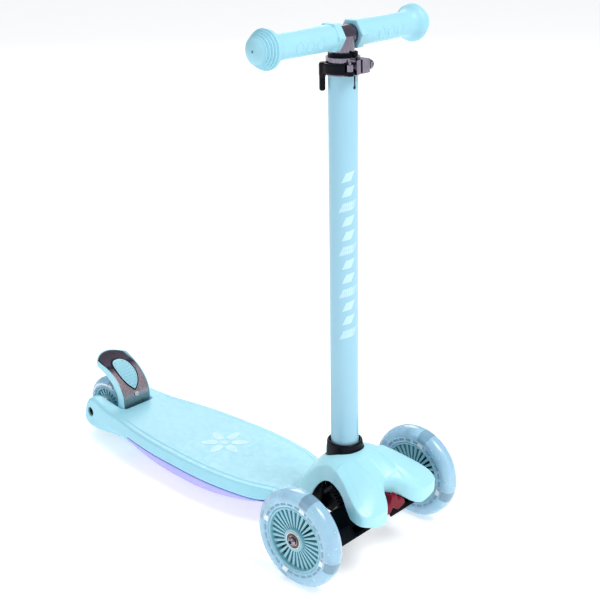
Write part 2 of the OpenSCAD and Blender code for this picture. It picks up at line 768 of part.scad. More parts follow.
// The space that the wheel needs when the pedal is pressed down fully
module wheel_room(r, half_w)
    at_hinge() rotate([brake_travel, 0, 0]) translate([0, hinge_ahead, rear_r - hinge_z]) bar_x(r, -half_w, half_w);

module brake_fender() {
    color([0.68, 0.93, 0.99])
    difference() {
        intersection() {
            union() {
                from_front_axle() {
                    slab_x(strip(fender_line, -5, -plate_t), fender_half_w);
                    both_sides() translate([-fender_half_w, 0, 0]) rotate([90, 0, 90])
                        linear_extrude(fender_half_w - plate_half_w) polygon(strip(fender_line, -15, 0));
                    slab_x([[wheelbase - 56, hinge_z], [wheelbase - 56, 63], [wheelbase - 50, 66],
                        [wheelbase - 43, 60], [wheelbase - 44.3, hinge_z]], fender_half_w);
                }
                at_hinge() bar_x(hinge_barrel_r, -fender_half_w, fender_half_w);
            }
            from_front_axle() translate([0, slot_front_y + 101, 0])
                linear_extrude(130) rounded_rect(2 * fender_half_w, 200, 6);
        }
        from_front_axle() slab_x(strip(fender_line, -plate_t, 10), plate_half_w);
        wheel_room(rear_r + 3, tyre_w / 2 + 2);
        at_hinge() bar_x(2.5 + fit, -40, 40);
        at_hinge() bar_x(12, -5, 5);
        brake_screw_hole();
    }
}

screw_at = (fender_line[2] + fender_line[3]) / 2;
screw_run = fender_line[3] - fender_line[2];

// At the plate's face, with the way out of it as Z
module at_brake_screw() from_front_axle() translate([0, screw_at[0], screw_at[1]])
    rotate([atan2(screw_run[1], screw_run[0]), 0, 0]) children();
module brake_screw_hole() at_brake_screw() translate([0, 0, -12]) cylinder(r = 1.6, h = 20);

module brake_plate() {
    color([0.6, 0.55, 0.6])
    difference() {
        from_front_axle() slab_x(strip(fender_line, -plate_t, 0), plate_half_w);
        brake_screw_hole();
    }
}

module brake_screw() {
    color([0.75, 0.76, 0.78])
    at_brake_screw() rotate([180, 0, 0]) screw(1.6, 7, 3.2, 1.6, 1.2);
}

module brake_grip_pad() {
    color([0.62, 0.88, 0.98])
    intersection() {
        from_front_axle() slab_x(strip(pad_line, 0, 2), 14);
        from_front_axle() translate([0, wheelbase - 31, 96]) rotate([48, 0, 0]) leaf();
    }
}

// The pad's outline: discs side by side, widest towards the tail and narrow at the foot
module leaf() translate([0, 0, -20]) linear_extrude(60)
    for (disc = [[-19, 6], [-11, 9.5], [-2, 12], [6, 12.6], [13, 11]]) translate([0, disc[0]]) circle(disc[1]);

module brake_shoe() {
    color([0.12, 0.12, 0.13])
    difference() {
        from_front_axle() intersection() {
            slab_x(strip([for (i = [3:9]) fender_line[i]], -30, -5), 11);
            translate([-20, wheelbase - 60, 60]) cube([40, 48, 60]);
        }
        wheel_room(rear_r + 0.8, 30);
        brake_screw_hole();
    }
}

module brake_hinge_pin() {
    color([0.75, 0.76, 0.78])
    at_hinge() bar_x(2.5, -pin_reach, pin_reach);
}

module brake_spring() {
    color([0.75, 0.76, 0.78])
    at_hinge() translate([-4.5, 0, 0]) rotate([0, 90, 0]) coil_spring(3.6, 0.6, 6, 9);
}

// ---------- handlebar ----------

stem_top = bar_height / cos(rake);
grip_in = 13;                      // where a grip starts, from the middle
grip_body_r = 14;
flare_r = 21.3;

module on_bar() on_column() translate([0, 0, stem_top]) children();

module stem_tube() {
    color([0.8, 0.79, 0.84])
    on_column() difference() {
        translate([0, 0, column_top - stem_inside]) cylinder(r = stem_r, h = stem_top - column_top + stem_inside);
        translate([0, 0, column_top - stem_inside - 1]) cylinder(r = stem_r - 1.5, h = stem_inside + 5);
        translate([0, 0, stem_top]) bar_x(crossbar_r, -40, 40);
    }
}

module stem_plug() {
    color([0.06, 0.06, 0.07])
    on_column() translate([0, 0, column_top - stem_inside - 3]) {
        cylinder(r = stem_r + 1.6, h = 3);
        cylinder(r = stem_r - 1.5, h = 14);
    }
}

module crossbar() {
    color([0.5, 0.47, 0.55])
    on_bar() difference() {
        bar_x(crossbar_r, -bar_length / 2 + 8, bar_length / 2 - 8);
        bar_x(crossbar_r - 1.5, -bar_length, bar_length);
    }
}

module grip() {
    end = bar_length / 2;
    difference() {
        union() {
            rotate([30, 0, 0]) bar_x(17, grip_in, grip_in + 11, $fn = 6);
            bar_x(grip_body_r, grip_in, end - 20);
            rotate([0, 90, 0]) rotate_extrude() polygon([[0, end - 36], [grip_body_r, end - 36],
                [grip_body_r + 2, end - 30], [18.5, end - 25], [20.8, end - 22], [flare_r, end - 20],
                [20.6, end - 17.5], [18.8, end - 13.5], [16.6, end - 9.5], [14, end - 6], [10.5, end - 3],
                [6, end - 1], [0, end]]);
        }
        bar_x(crossbar_r, 0, end - 8);
        bar_x(1.5, 0, end + 1);
    }
}

module left_grip() color([0.66, 0.92, 0.99]) on_bar() grip();
module right_grip() color([0.66, 0.92, 0.99]) on_bar() mirror([1, 0, 0]) grip();

deck();
deck_belly();
belly_screws();
front_cover();
cover_screws();
head_block();
head_bolts();
column();
column_collar();
column_bush();
clamp_band();
clamp_bolt();
clamp_nut();
clamp_washers();
lever_pin();
clamp_lever();
latch_spring();
latch_pin();
release_button();
kingpin();
kingpin_nut();
kingpin_washers();
truck_beam();
truck_bushings();
steering_springs();
front_axle_bolts();
front_axle_washers();
left_tyre();
left_hub();
left_bearings();
left_spacer();
left_lights();
right_tyre();
right_hub();
right_bearings();
right_spacer();
right_lights();
rear_tyre();
rear_hub();
rear_bearings();
rear_spacer();
rear_lights();
rear_axle_bolt();
rear_axle_nut();
rear_axle_sleeves();
brake_fender();
brake_plate();
brake_grip_pad();
brake_shoe();
brake_screw();
brake_hinge_pin();
brake_spring();
stem_tube();
stem_plug();
crossbar();
left_grip();
right_grip();
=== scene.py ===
"""Looks of a child's lean-to-steer kick scooter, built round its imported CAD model."""

import itertools
import json
import math

import bpy
import numpy as np
import openvdb
from mathutils import Matrix, Vector


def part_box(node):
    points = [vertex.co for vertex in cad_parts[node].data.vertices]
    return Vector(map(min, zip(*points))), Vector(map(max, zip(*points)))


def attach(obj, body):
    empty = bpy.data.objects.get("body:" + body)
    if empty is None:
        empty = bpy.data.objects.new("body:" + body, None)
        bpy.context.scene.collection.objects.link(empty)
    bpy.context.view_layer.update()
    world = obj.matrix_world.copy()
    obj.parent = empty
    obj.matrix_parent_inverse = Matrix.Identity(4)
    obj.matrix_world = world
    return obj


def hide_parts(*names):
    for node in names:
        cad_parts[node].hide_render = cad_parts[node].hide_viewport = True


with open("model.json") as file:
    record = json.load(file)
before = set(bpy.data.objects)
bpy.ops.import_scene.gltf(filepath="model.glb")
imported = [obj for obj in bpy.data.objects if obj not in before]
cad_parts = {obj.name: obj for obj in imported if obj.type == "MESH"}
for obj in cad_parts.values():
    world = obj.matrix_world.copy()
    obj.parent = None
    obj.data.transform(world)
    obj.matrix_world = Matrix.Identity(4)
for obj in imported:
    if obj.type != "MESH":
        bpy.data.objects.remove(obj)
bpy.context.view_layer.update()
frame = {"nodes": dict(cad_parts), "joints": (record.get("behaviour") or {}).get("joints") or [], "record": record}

# Lengths in this script are in mm from the front axle's ground point, with forward -Y, until row() turns
# them into the frame's metres.
MM = 0.001


# ---------- sizes read from the frame ----------

def low_high(node):
    low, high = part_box(node)
    return low / MM, high / MM


def middle(node):
    low, high = low_high(node)
    return (low + high) / 2


AXLE_Y = middle("left_tyre").y
WHEEL_X = middle("left_tyre").x
FRONT_R = low_high("left_tyre")[1].z - middle("left_tyre").z
REAR_Y = middle("rear_tyre").y - AXLE_Y
REAR_R = low_high("rear_tyre")[1].z - middle("rear_tyre").z
TYRE_W = low_high("left_tyre")[1].x - low_high("left_tyre")[0].x
DECK_HALF_W = low_high("deck")[1].x
BEARING_R = (low_high("left_bearings")[1].z - low_high("left_bearings")[0].z) / 2

slide = next(j for j in frame["joints"] if j["name"] == "bar_height")["axis"]
RAKE = math.atan2(slide[1], slide[2])
COLUMN_R = low_high("column")[1].x
COLUMN_FOOT_Y = middle("column").y - AXLE_Y - math.tan(RAKE) * middle("column").z
BAR_Z = middle("crossbar").z / math.cos(RAKE)
BAR_HALF = low_high("left_grip")[1].x
brake_joint = next(j for j in frame["joints"] if j["name"] == "brake_press")
HINGE_Y = brake_joint["pos_m"][1] / MM - AXLE_Y
HINGE_Z = brake_joint["pos_m"][2] / MM
BRAKE_TRAVEL = math.radians(12)
DECK_Z = frame["record"]["mounts"][0]["pos_m"][2] / MM


# ---------- places ----------

def shift(x, y, z):
    return Matrix.Translation((x, y, z))


COLUMN = shift(0, COLUMN_FOOT_Y, 0) @ Matrix.Rotation(-RAKE, 4, "X")
BAR = COLUMN @ shift(0, 0, BAR_Z)
AT_AXLE = Matrix.Identity(4)
WHEELS = {
    "left": shift(WHEEL_X, 0, FRONT_R),
    "right": shift(-WHEEL_X, 0, FRONT_R),
    "rear": shift(0, REAR_Y, REAR_R),
}


def row(points, place):
    """Points of a place's own frame, in mm, as points of the row frame, in metres."""
    m = np.array(place)
    moved = np.asarray(points, float) @ m[:3, :3].T + m[:3, 3]
    return (moved + (0, AXLE_Y, 0)) * MM


# ---------- curves and outlines ----------

FAR = 1e9


def smooth(at, stations):
    """A smooth curve through (place, value) stations, level beyond its ends."""
    xs, ys = np.array(sorted(stations), float).T
    slopes = np.gradient(ys, xs)
    at = np.clip(at, xs[0], xs[-1])
    i = np.clip(np.searchsorted(xs, at) - 1, 0, len(xs) - 2)
    wide = xs[i + 1] - xs[i]
    t = (at - xs[i]) / wide
    return (
        (1 + 2 * t) * (1 - t) ** 2 * ys[i]
        + t * (1 - t) ** 2 * wide * slopes[i]
        + t**2 * (3 - 2 * t) * ys[i + 1]
        + t**2 * (t - 1) * wide * slopes[i + 1]
    )


def step_up(at, start, end):
    """0 before start, 1 after end, and a soft step between them."""
    t = np.clip((at - start) / (end - start), 0, 1)
    return t * t * (3 - 2 * t)


def rounded(profile):
    """A closed outline from (a, b, radius) corners, each rounded by a curve of about that radius."""
    points = [np.array(p[:2], float) for p in profile]
    made = []
    for i, corner in enumerate(points):
        before, after = points[i - 1] - corner, points[(i + 1) % len(points)] - corner
        cut = min(profile[i][2], 0.45 * np.linalg.norm(before), 0.45 * np.linalg.norm(after))
        start = corner + before / np.linalg.norm(before) * cut
        end = corner + after / np.linalg.norm(after) * cut
        for t in (0, 0.25, 0.5, 0.75, 1):
            made.append((1 - t) ** 2 * start + 2 * t * (1 - t) * corner + t * t * end)
    return np.array(made)


def outline_distance(x, y, outline):
    """Signed distance from points to a closed outline, below 0 inside."""
    shape = np.broadcast(x, y).shape
    best, inside = np.full(shape, FAR), np.zeros(shape, bool)
    for (ax, ay), (bx, by) in zip(outline, np.roll(outline, -1, axis=0)):
        ex, ey = bx - ax, by - ay
        t = np.clip(((x - ax) * ex + (y - ay) * ey) / (ex * ex + ey * ey + 1e-12), 0, 1)
        best = np.minimum(best, np.hypot(x - ax - t * ex, y - ay - t * ey))
        if by != ay:
            inside ^= ((ay > y) != (by > y)) & (x < ax + (y - ay) / (by - ay) * ex)
    return np.where(inside, -best, best)


def line_distance(x, y, line):
    """Signed distance to an open line, above 0 on its left, and the run to the nearest point."""
    best, along, run = np.full(np.broadcast(x, y).shape, FAR), 0.0, 0.0
    for (ax, ay), (bx, by) in zip(line[:-1], line[1:]):
        ex, ey = bx - ax, by - ay
        length = math.hypot(ex, ey)
        t = np.clip(((x - ax) * ex + (y - ay) * ey) / length**2, 0, 1)
        dx, dy = x - ax - t * ex, y - ay - t * ey
        away = np.hypot(dx, dy)
        signed = np.where(ex * dy - ey * dx >= 0, away, -away)
        nearer = away < np.abs(best)
        best = np.where(nearer, signed, best)
        along = np.where(nearer, run + t * length, along)
        run += length
    return best, along


# ---------- solids as fields: below 0 inside, in mm ----------

def smooth_max(a, b, k):
    h = np.maximum(k - np.abs(a - b), 0) / k
    return np.maximum(a, b) + h * h * k / 4


def smooth_min(a, b, k):
    return -smooth_max(-a, -b, k)


def box_field(x, y, z, low, high, k=0.01):
    """A box with edges rounded by about k."""
    sides = [np.maximum(low[i] - a, a - high[i]) for i, a in enumerate((x, y, z))]
    return smooth_max(smooth_max(sides[0], sides[1], k), sides[2], k)


def sample(field, at):
    """A field's value between its points."""
    i = np.clip(np.floor(at).astype(int), 0, np.array(field.shape) - 2)
    t = at - i
    value = 0
    for corner in itertools.product((0, 1), repeat=3):
        share = np.prod(np.where(corner, t, 1 - t), axis=1)
        value = value + share * field[tuple((i + corner).T)]
    return value


BAND_STEPS = 4
PULLS = 3


class Block:
    """Evenly spaced points in a place's own frame, on which a solid's field is worked out."""

    def __init__(self, low, high, step, place=AT_AXLE):
        self.low, self.step, self.place = np.array(low, float), step, place
        lines = [np.arange(a, b + step, step) for a, b in zip(low, high)]
        self.shape = tuple(len(line) for line in lines)
        self.x, self.y, self.z = np.meshgrid(*lines, indexing="ij", sparse=True)

    def mesh(self, field):
        """The solid's surface as a mesh, with smooth normals from the field."""
        band = BAND_STEPS * self.step
        field = np.clip(np.broadcast_to(field, self.shape), -band, band).astype(np.float32)
        grid = openvdb.FloatGrid(band)
        grid.copyFromArray(field)
        points, quads = grid.convertToQuads(isovalue=0.0)
        points = points.astype(float)
        for _ in range(PULLS):
            value, slope = sample(field, points), self.slope(field, points)
            pull = value / np.maximum((slope**2).sum(1), 1e-3)
            points -= np.clip(pull[:, None] * slope, -0.5, 0.5)
        normals = self.slope(field, points)
        normals /= np.maximum(np.linalg.norm(normals, axis=1), 1e-9)[:, None]
        normals = normals @ np.array(self.place)[:3, :3].T
        return make_mesh(row(self.low + points * self.step, self.place), quads, normals)

    def slope(self, field, at):
        return np.stack([sample(field, at + e) - sample(field, at - e) for e in np.eye(3) * 0.5], 1)


def make_mesh(points, faces, normals=None, sharp_over=35):
    """A smooth mesh whose faces look outwards, with given normals or with edges sharp over an angle."""
    mesh = bpy.data.meshes.new("mesh")
    mesh.from_pydata(np.asarray(points).tolist(), [], [list(map(int, f)) for f in faces])
    corners = np.array([points[f[k]] for f in faces for k in (0, 1, 2)]).reshape(-1, 3, 3)
    if np.einsum("ij,ij->", corners[:, 0], np.cross(corners[:, 1], corners[:, 2])) < 0:
        mesh.flip_normals()
    mesh.polygons.foreach_set("use_smooth", [True] * len(mesh.polygons))
    if normals is None:
        mesh.set_sharp_from_angle(angle=math.radians(sharp_over))
    else:
        mesh.normals_split_custom_set_from_vertices(normals.tolist())
    return mesh


# ---------- solids as rings of points ----------

def skin(rings, place=AT_AXLE, closed=False, sharp_over=35):
    """A mesh through rings of points. An open run of rings is closed by a cap at each end."""
    rings = np.array(rings, float)
    m, n = rings.shape[:2]
    points = [tuple(p) for ring in rings for p in ring]
    faces = []
    for i in range(m if closed else m - 1):
        a, b = i * n, (i + 1) % m * n
        faces += [(a + j, a + (j + 1) % n, b + (j + 1) % n, b + j) for j in range(n)]
    if not closed:
        for ring, turned in ((0, True), (m - 1, False)):
            points.append(tuple(rings[ring].mean(0)))
            for j in range(n):
                fan = (ring * n + j, ring * n + (j + 1) % n, len(points) - 1)
                faces.append(fan[::-1] if turned else fan)
    return make_mesh(row(points, place), faces, sharp_over=sharp_over)


def turned(profile, place, axis="X", sides=96, sharp_over=35):
    """A closed profile of (radius, length along the axis) points, turned about X or Z."""
    angles = np.arange(sides) * 2 * math.pi / sides
    rings = []
    for r, along in profile:
        c, s, a = r * np.cos(angles), r * np.sin(angles), np.full(sides, along)
        rings.append(np.stack((a, c, s) if axis == "X" else (c, s, a), 1))
    return skin(rings, place, True, sharp_over)


# ---------- pieces ----------

def new_object(name, data):
    piece = bpy.data.objects.new(name, data)
    bpy.context.scene.collection.objects.link(piece)
    return piece


def add(name, mesh, body, material, replaced=()):
    """A new piece that rides on a CAD body and stands for the CAD nodes named in replaced."""
    mesh.name = name
    mesh.materials.append(MATERIALS[material])
    piece = new_object(name, mesh)
    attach(piece, body)
    if replaced:
        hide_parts(*replaced)
    return piece


def dress(material, nodes, bevel=0.0):
    """Gives CAD nodes a material, and a fine bevel on their edges."""
    for node in nodes:
        piece = frame["nodes"][node]
        piece.data.materials.clear()
        piece.data.materials.append(MATERIALS[material])
        if bevel:
            edge = piece.modifiers.new("edge", "BEVEL")
            edge.width, edge.segments = bevel * MM, 2
            edge.limit_method, edge.angle_limit = "ANGLE", math.radians(40)


# ---------- materials ----------

def new_material(name, colour, roughness, **sockets):
    """A Principled material with its uniform values on its own sockets."""
    material = bpy.data.materials.new(name)
    material.use_nodes = True
    shader = material.node_tree.nodes["Principled BSDF"]
    shader.inputs["Base Color"].default_value = (*colour, 1)
    shader.inputs["Roughness"].default_value = roughness
    for socket, value in sockets.items():
        shader.inputs[socket.replace("_", " ")].default_value = value
    return material, shader


class Nodes:
    """Short ways to add nodes to one material."""

    def __init__(self, material):
        self.tree = material.node_tree
        self.coords = self.tree.nodes.new("ShaderNodeTexCoord").outputs["Object"]

    def link(self, a, b):
        self.tree.links.new(a, b)

    def noise(self, size_mm, detail, stretch=(1, 1, 1)):
        """Noise with features of about size_mm, stretched along each axis."""
        mapping = self.tree.nodes.new("ShaderNodeMapping")
        mapping.inputs["Scale"].default_value = [1 / (size_mm * MM * s) for s in stretch]
        self.link(self.coords, mapping.inputs["Vector"])
        noise = self.tree.nodes.new("ShaderNodeTexNoise")
        noise.inputs["Scale"].default_value = 1
        noise.inputs["Detail"].default_value = detail
        self.link(mapping.outputs["Vector"], noise.inputs["Vector"])
        return noise.outputs["Fac"]

    def remap(self, value, low, high, start=0.3, end=0.7):
        node = self.tree.nodes.new("ShaderNodeMapRange")
        for name, v in (("From Min", start), ("From Max", end), ("To Min", low), ("To Max", high)):
            node.inputs[name].default_value = v
        self.link(value, node.inputs["Value"])
        return node.outputs["Result"]

    def mix(self, share, colour_a, colour_b):
        node = self.tree.nodes.new("ShaderNodeMix")
        node.data_type = "RGBA"
        node.inputs["A"].default_value = (*colour_a, 1)
        node.inputs["B"].default_value = (*colour_b, 1)
        self.link(share, node.inputs["Factor"])
        return node.outputs["Result"]

    def bump(self, height, depth_mm):
        node = self.tree.nodes.new("ShaderNodeBump")
        node.inputs["Strength"].default_value = 1
        node.inputs["Distance"].default_value = depth_mm * MM
        self.link(height, node.inputs["Height"])
        return node.outputs["Normal"]


def shaded(colour, share):
    return tuple(c * share for c in colour)


def moulded(name, colour, roughness, grain=0.5, depth=0.006, mottle=0.04, **sockets):
    """Moulded or painted stuff: a fine spark-eroded grain, faint mottling and uneven gloss."""
    material, shader = new_material(name, colour, roughness, **sockets)
    nodes = Nodes(material)
    cloud = nodes.remap(nodes.noise(35, detail=4), 0, 1)
    gloss = nodes.remap(nodes.noise(6, detail=5), roughness * 0.85, roughness * 1.2)
    nodes.link(nodes.mix(cloud, shaded(colour, 1 - mottle), colour), shader.inputs["Base Color"])
    nodes.link(gloss, shader.inputs["Roughness"])
    nodes.link(nodes.bump(nodes.noise(grain, detail=2), depth), shader.inputs["Normal"])
    return material


def metal(name, colour, roughness, streak=(1, 1, 1), size=0.4, dark=0.82):
    """Polished, plated or brushed metal, with fine streaks along the axis that streak stretches. Where dark is
    low, as for chrome and the bar, the dark streaks are painted reflections.
    """
    material, shader = new_material(name, colour, roughness, Metallic=1.0)
    nodes = Nodes(material)
    fine = nodes.noise(size, detail=4, stretch=streak)
    tint = nodes.mix(nodes.remap(fine, 0, 1), shaded(colour, dark), colour)
    nodes.link(tint, shader.inputs["Base Color"])
    nodes.link(nodes.remap(fine, roughness * 0.5, roughness * 1.5), shader.inputs["Roughness"])
    nodes.link(nodes.bump(fine, 0.002), shader.inputs["Normal"])
    return material


def cast_tyre(name, colour):
    """Clear cast polyurethane: glossy, milky inside, with faint flow clouds."""
    material, shader = new_material(
        name, colour, 0.16, Transmission_Weight=0.3, IOR=1.45, Subsurface_Weight=0.35,
        Subsurface_Scale=0.006, Coat_Weight=0.35, Coat_Roughness=0.12)
    nodes = Nodes(material)
    cloud = nodes.remap(nodes.noise(14, detail=3), 0, 1)
    nodes.link(nodes.mix(cloud, shaded(colour, 0.9), colour), shader.inputs["Base Color"])
    nodes.link(nodes.remap(nodes.noise(5, detail=4), 0.14, 0.28), shader.inputs["Roughness"])
    nodes.link(nodes.bump(nodes.noise(9, detail=1), 0.03), shader.inputs["Normal"])
    return material


def painted_reflection_plate(name):
    """Brushed plate in its own pinkish grey, with painted reflections: its tint runs from teal grey at its foot to
    nearly black at its tail.
    """
    material, shader = new_material(name, (0.3, 0.24, 0.28), 0.3, Metallic=0.85)
    nodes = Nodes(material)
    low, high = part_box("brake_plate")
    split = nodes.tree.nodes.new("ShaderNodeSeparateXYZ")
    nodes.link(nodes.coords, split.inputs["Vector"])
    ramp = nodes.tree.nodes.new("ShaderNodeValToRGB")
    # Painted reflections along the bend: teal grey at the foot, the plate's own pinkish grey in the middle, nearly
    # black at the tail
    reflection_tints = ((0.0, (0.20, 0.32, 0.35)), (0.12, (0.30, 0.36, 0.39)), (0.24, (0.50, 0.40, 0.45)),
             (0.58, (0.46, 0.35, 0.41)), (0.7, (0.05, 0.03, 0.06)), (1.0, (0.015, 0.01, 0.022)))
    while len(ramp.color_ramp.elements) < len(reflection_tints):
        ramp.color_ramp.elements.new(0.5)
    for element, (place, colour) in zip(ramp.color_ramp.elements, reflection_tints):
        element.position, element.color = place, (*colour, 1)
    along = nodes.tree.nodes.new("ShaderNodeMath")
    nodes.link(nodes.remap(split.outputs["Y"], 0, 0.5, start=low.y, end=high.y), along.inputs[0])
    nodes.link(nodes.remap(split.outputs["Z"], 0, 0.5, start=low.z, end=high.z), along.inputs[1])
    nodes.link(along.outputs["Value"], ramp.inputs["Fac"])
    streak = nodes.noise(0.5, detail=4, stretch=(1, 9, 9))
    shade = nodes.tree.nodes.new("ShaderNodeMix")
    shade.data_type, shade.blend_type = "RGBA", "MULTIPLY"
    shade.inputs["Factor"].default_value = 1
    nodes.link(ramp.outputs["Color"], shade.inputs["A"])
    nodes.link(nodes.mix(nodes.remap(streak, 0, 1), (0.6, 0.6, 0.6), (1, 1, 1)), shade.inputs["B"])
    nodes.link(shade.outputs["Result"], shader.inputs["Base Color"])
    nodes.link(nodes.remap(streak, 0.2, 0.42), shader.inputs["Roughness"])
    nodes.link(nodes.bump(streak, 0.006), shader.inputs["Normal"])
    return material


INK = (0.002, 0.003, 0.007)
MATERIALS = {
    "body": moulded("body", (0.39, 0.76, 0.86), 0.36, grain=0.45, depth=0.008,
                    Coat_Weight=0.12, Coat_Roughness=0.25),
    "deck_top": moulded("deck_top", (0.34, 0.71, 0.84), 0.42, depth=0.014),
    "belly": moulded("belly", (0.45, 0.44, 0.88), 0.42, depth=0.01),
    "paint": moulded("paint", (0.31, 0.58, 0.72), 0.33, grain=0.3, depth=0.004, mottle=0.02,
                     Coat_Weight=0.25, Coat_Roughness=0.2),
    "grip": moulded("grip", (0.32, 0.64, 0.76), 0.5, grain=0.35, depth=0.012, mottle=0.03),
    "hub": moulded("hub", (0.26, 0.56, 0.66), 0.3, grain=0.6, depth=0.004),
    "black": moulded("black", INK, 0.45, grain=0.4, depth=0.012, mottle=0.3,
                     Specular_IOR_Level=0.08),
    "gloss_black": moulded("gloss_black", INK, 0.3, depth=0.004, mottle=0.3, Specular_IOR_Level=0.12),
    "red": moulded("red", (0.19, 0.004, 0.018), 0.4, mottle=0.1, Specular_IOR_Level=0.12),
    "shoe": moulded("shoe", (0.02, 0.02, 0.022), 0.8, grain=0.7, depth=0.06, mottle=0.4),
    "bush": moulded("bush", (0.7, 0.7, 0.66), 0.4),
    "mark": moulded("mark", (0.52, 0.76, 0.84), 0.35, grain=0.3, depth=0.004, mottle=0.02),
    "deck_mark": moulded("deck_mark", (0.48, 0.76, 0.90), 0.4, grain=0.3, depth=0.004, mottle=0.02),
    "seal": moulded("seal", (0.11, 0.065, 0.03), 0.35, grain=0.4, mottle=0.2),
    # Near-black web disc between a wheel's blades: painted shade in the deep gaps, not the hub's own colour
    "slot": moulded("slot", (0.012, 0.05, 0.055), 0.45, mottle=0.2),
    "dash": moulded("dash", (0.16, 0.34, 0.48), 0.3, mottle=0.1),
    "window": moulded("window", (0.22, 0.40, 0.55), 0.1, grain=2.5, depth=0.03, mottle=0.35,
                      Coat_Weight=0.6, Coat_Roughness=0.05),
    "light": moulded("light", (0.80, 0.90, 0.95), 0.12, grain=1.5, depth=0.02, mottle=0.15),
    # chrome and bar: dark purple base colours and strongly dark streaks are painted reflections, not the bright
    # metal's own colour
    "chrome": metal("chrome", (0.36, 0.32, 0.40), 0.14, streak=(1, 1, 8), size=1.2, dark=0.5),
    "steel": metal("steel", (0.58, 0.58, 0.60), 0.28),
    "plate": painted_reflection_plate("plate"),
    "bar": metal("bar", (0.20, 0.17, 0.23), 0.18, streak=(10, 1, 1), size=0.3, dark=0.45),
    "tyre": cast_tyre("tyre", (0.47, 0.77, 0.98)),
}


# ---------- deck and belly ----------

RIM_Z = 37
KEEL_Y, KEEL_Z = 262, 15.8
BELLY_SPAN = (108, 371.2)
POCKET_SPAN = (375.5, 400.7)
TUCK = 8
TREAD_EDGE = (-9.5, -7.5)
TREAD_H = 1.1
TAIL_RISE_Y = 398
SLOT_Y = REAR_Y - 58.3
SLOT_HALF_W = 26.5
SLOT_CORNER = 7
SCREW_PLACES = ((30, 160), (34, 262), (30, 348))
PLAN = [(60, 35.5), (66, 38), (90, 46), (110, 52), (130, 59), (155, 64), (185, 67.5), (220, DECK_HALF_W),
        (265, 67.5), (312, 64.5), (350, 59.5), (393, 52), (427, 47.5), (457, 42.5), (479, 39.5),
        (488, 36)]


def keel(y):
    """Height of the belly's lowest line."""
    return KEEL_Z + 12 * (np.abs(y - KEEL_Y) / 130) ** 2.2


def plan_distance(block, inset=0.0):
    """Distance outside the deck's outline, seen from above."""
    width = smooth(block.y, PLAN) - inset
    slope = smooth(block.y + 0.5, PLAN) - smooth(block.y - 0.5, PLAN)
    return (np.abs(block.x) - width) / np.hypot(1, slope)


def deck():
    """Deck moulding: raised tread, rear arms round the wheel, and room for belly, tongue and axle."""
    block = Block((-73, 60, 12), (73, 494, 68), 1.3)
    x, y, z = block.x, block.y, block.z
    side = rounded([
        (66, DECK_Z, 1), (REAR_Y - 52, DECK_Z, 20), (REAR_Y - 27, DECK_Z + 3, 12),
        (REAR_Y - 9, DECK_Z + 6.5, 9), (REAR_Y + 2, DECK_Z + 4, 8), (REAR_Y + 9.5, DECK_Z - 4, 8),
        (REAR_Y + 16, DECK_Z - 15, 6),
        (REAR_Y + 21.5, 28, 5), (REAR_Y + 18, 21, 4), (REAR_Y + 6, 17, 6), (REAR_Y - 8, 16.5, 10),
        (REAR_Y - 34, 19.8, 15), (REAR_Y - 62, 23, 15),
        (BELLY_SPAN[1], keel(BELLY_SPAN[1]), 1), (BELLY_SPAN[1], RIM_Z, 0.5), (120, RIM_Z, 6),
        (100, 42, 6), (66, 46, 2)])
    plan = plan_distance(block)
    low = np.clip((RIM_Z - z) / 13, 0, 1.3)
    tucked = plan + TUCK * low**1.5 * step_up(y, 455, 385)
    body = smooth_max(tucked, outline_distance(y, z, side), 5)
    tread = DECK_Z - TREAD_H * step_up(plan, *TREAD_EDGE) + 0.4 * np.maximum(y - TAIL_RISE_Y, 0)
    body = smooth_max(body, z - tread, 0.8)
    wheel_slot = np.hypot(np.maximum(np.abs(x) - SLOT_HALF_W + SLOT_CORNER, 0),
                          np.maximum(SLOT_Y + SLOT_CORNER - y, 0)) - SLOT_CORNER
    body = smooth_max(body, -wheel_slot, 2.2)
    tongue = box_field(x, y, z, (-31, 0, 0), (31, BELLY_SPAN[0], 53))
    pocket = box_field(x, y, z, (-80, POCKET_SPAN[0], 0), (80, POCKET_SPAN[1], 53), 2)
    pocket = smooth_max(pocket, plan + 4, 2)
    axle = np.hypot(y - REAR_Y, z - REAR_R)
    recess = smooth_max(axle - 6.5, 35 - np.abs(x), 0.3)
    for hole in (tongue, pocket, axle - 4.05, recess):
        body = smooth_max(body, -hole, 0.8)
    add("deck_moulding", block.mesh(body), "frame", "deck_top", ["deck"])


def belly():
    """Belly shell with its screw recesses."""
    block = Block((-73, 100, 8), (73, 378, 42), 1.3)
    x, y, z = block.x, block.y, block.z
    depth = np.clip((RIM_Z - z) / (RIM_Z - keel(y)), 0, 1.3)
    plan = plan_distance(block, 1) + TUCK * depth**1.5
    bottom = (keel(y) - z) / np.hypot(1, keel(y + 0.5) - keel(y - 0.5))
    body = smooth_max(smooth_max(plan, bottom, 9), z - RIM_Z + 0.3, 0.8)
    body = smooth_max(body, smooth_max(BELLY_SPAN[0] - y, y - BELLY_SPAN[1], 1), 1)
    for px, py in SCREW_PLACES:
        recess = smooth_max(np.hypot(np.abs(x) - px, y - py) - 4, z - RIM_Z + 4, 0.5)
        body = smooth_max(body, -recess, 0.8)
    add("belly_shell", block.mesh(body), "frame", "belly", ["deck_belly"])


# ---------- front cover ----------

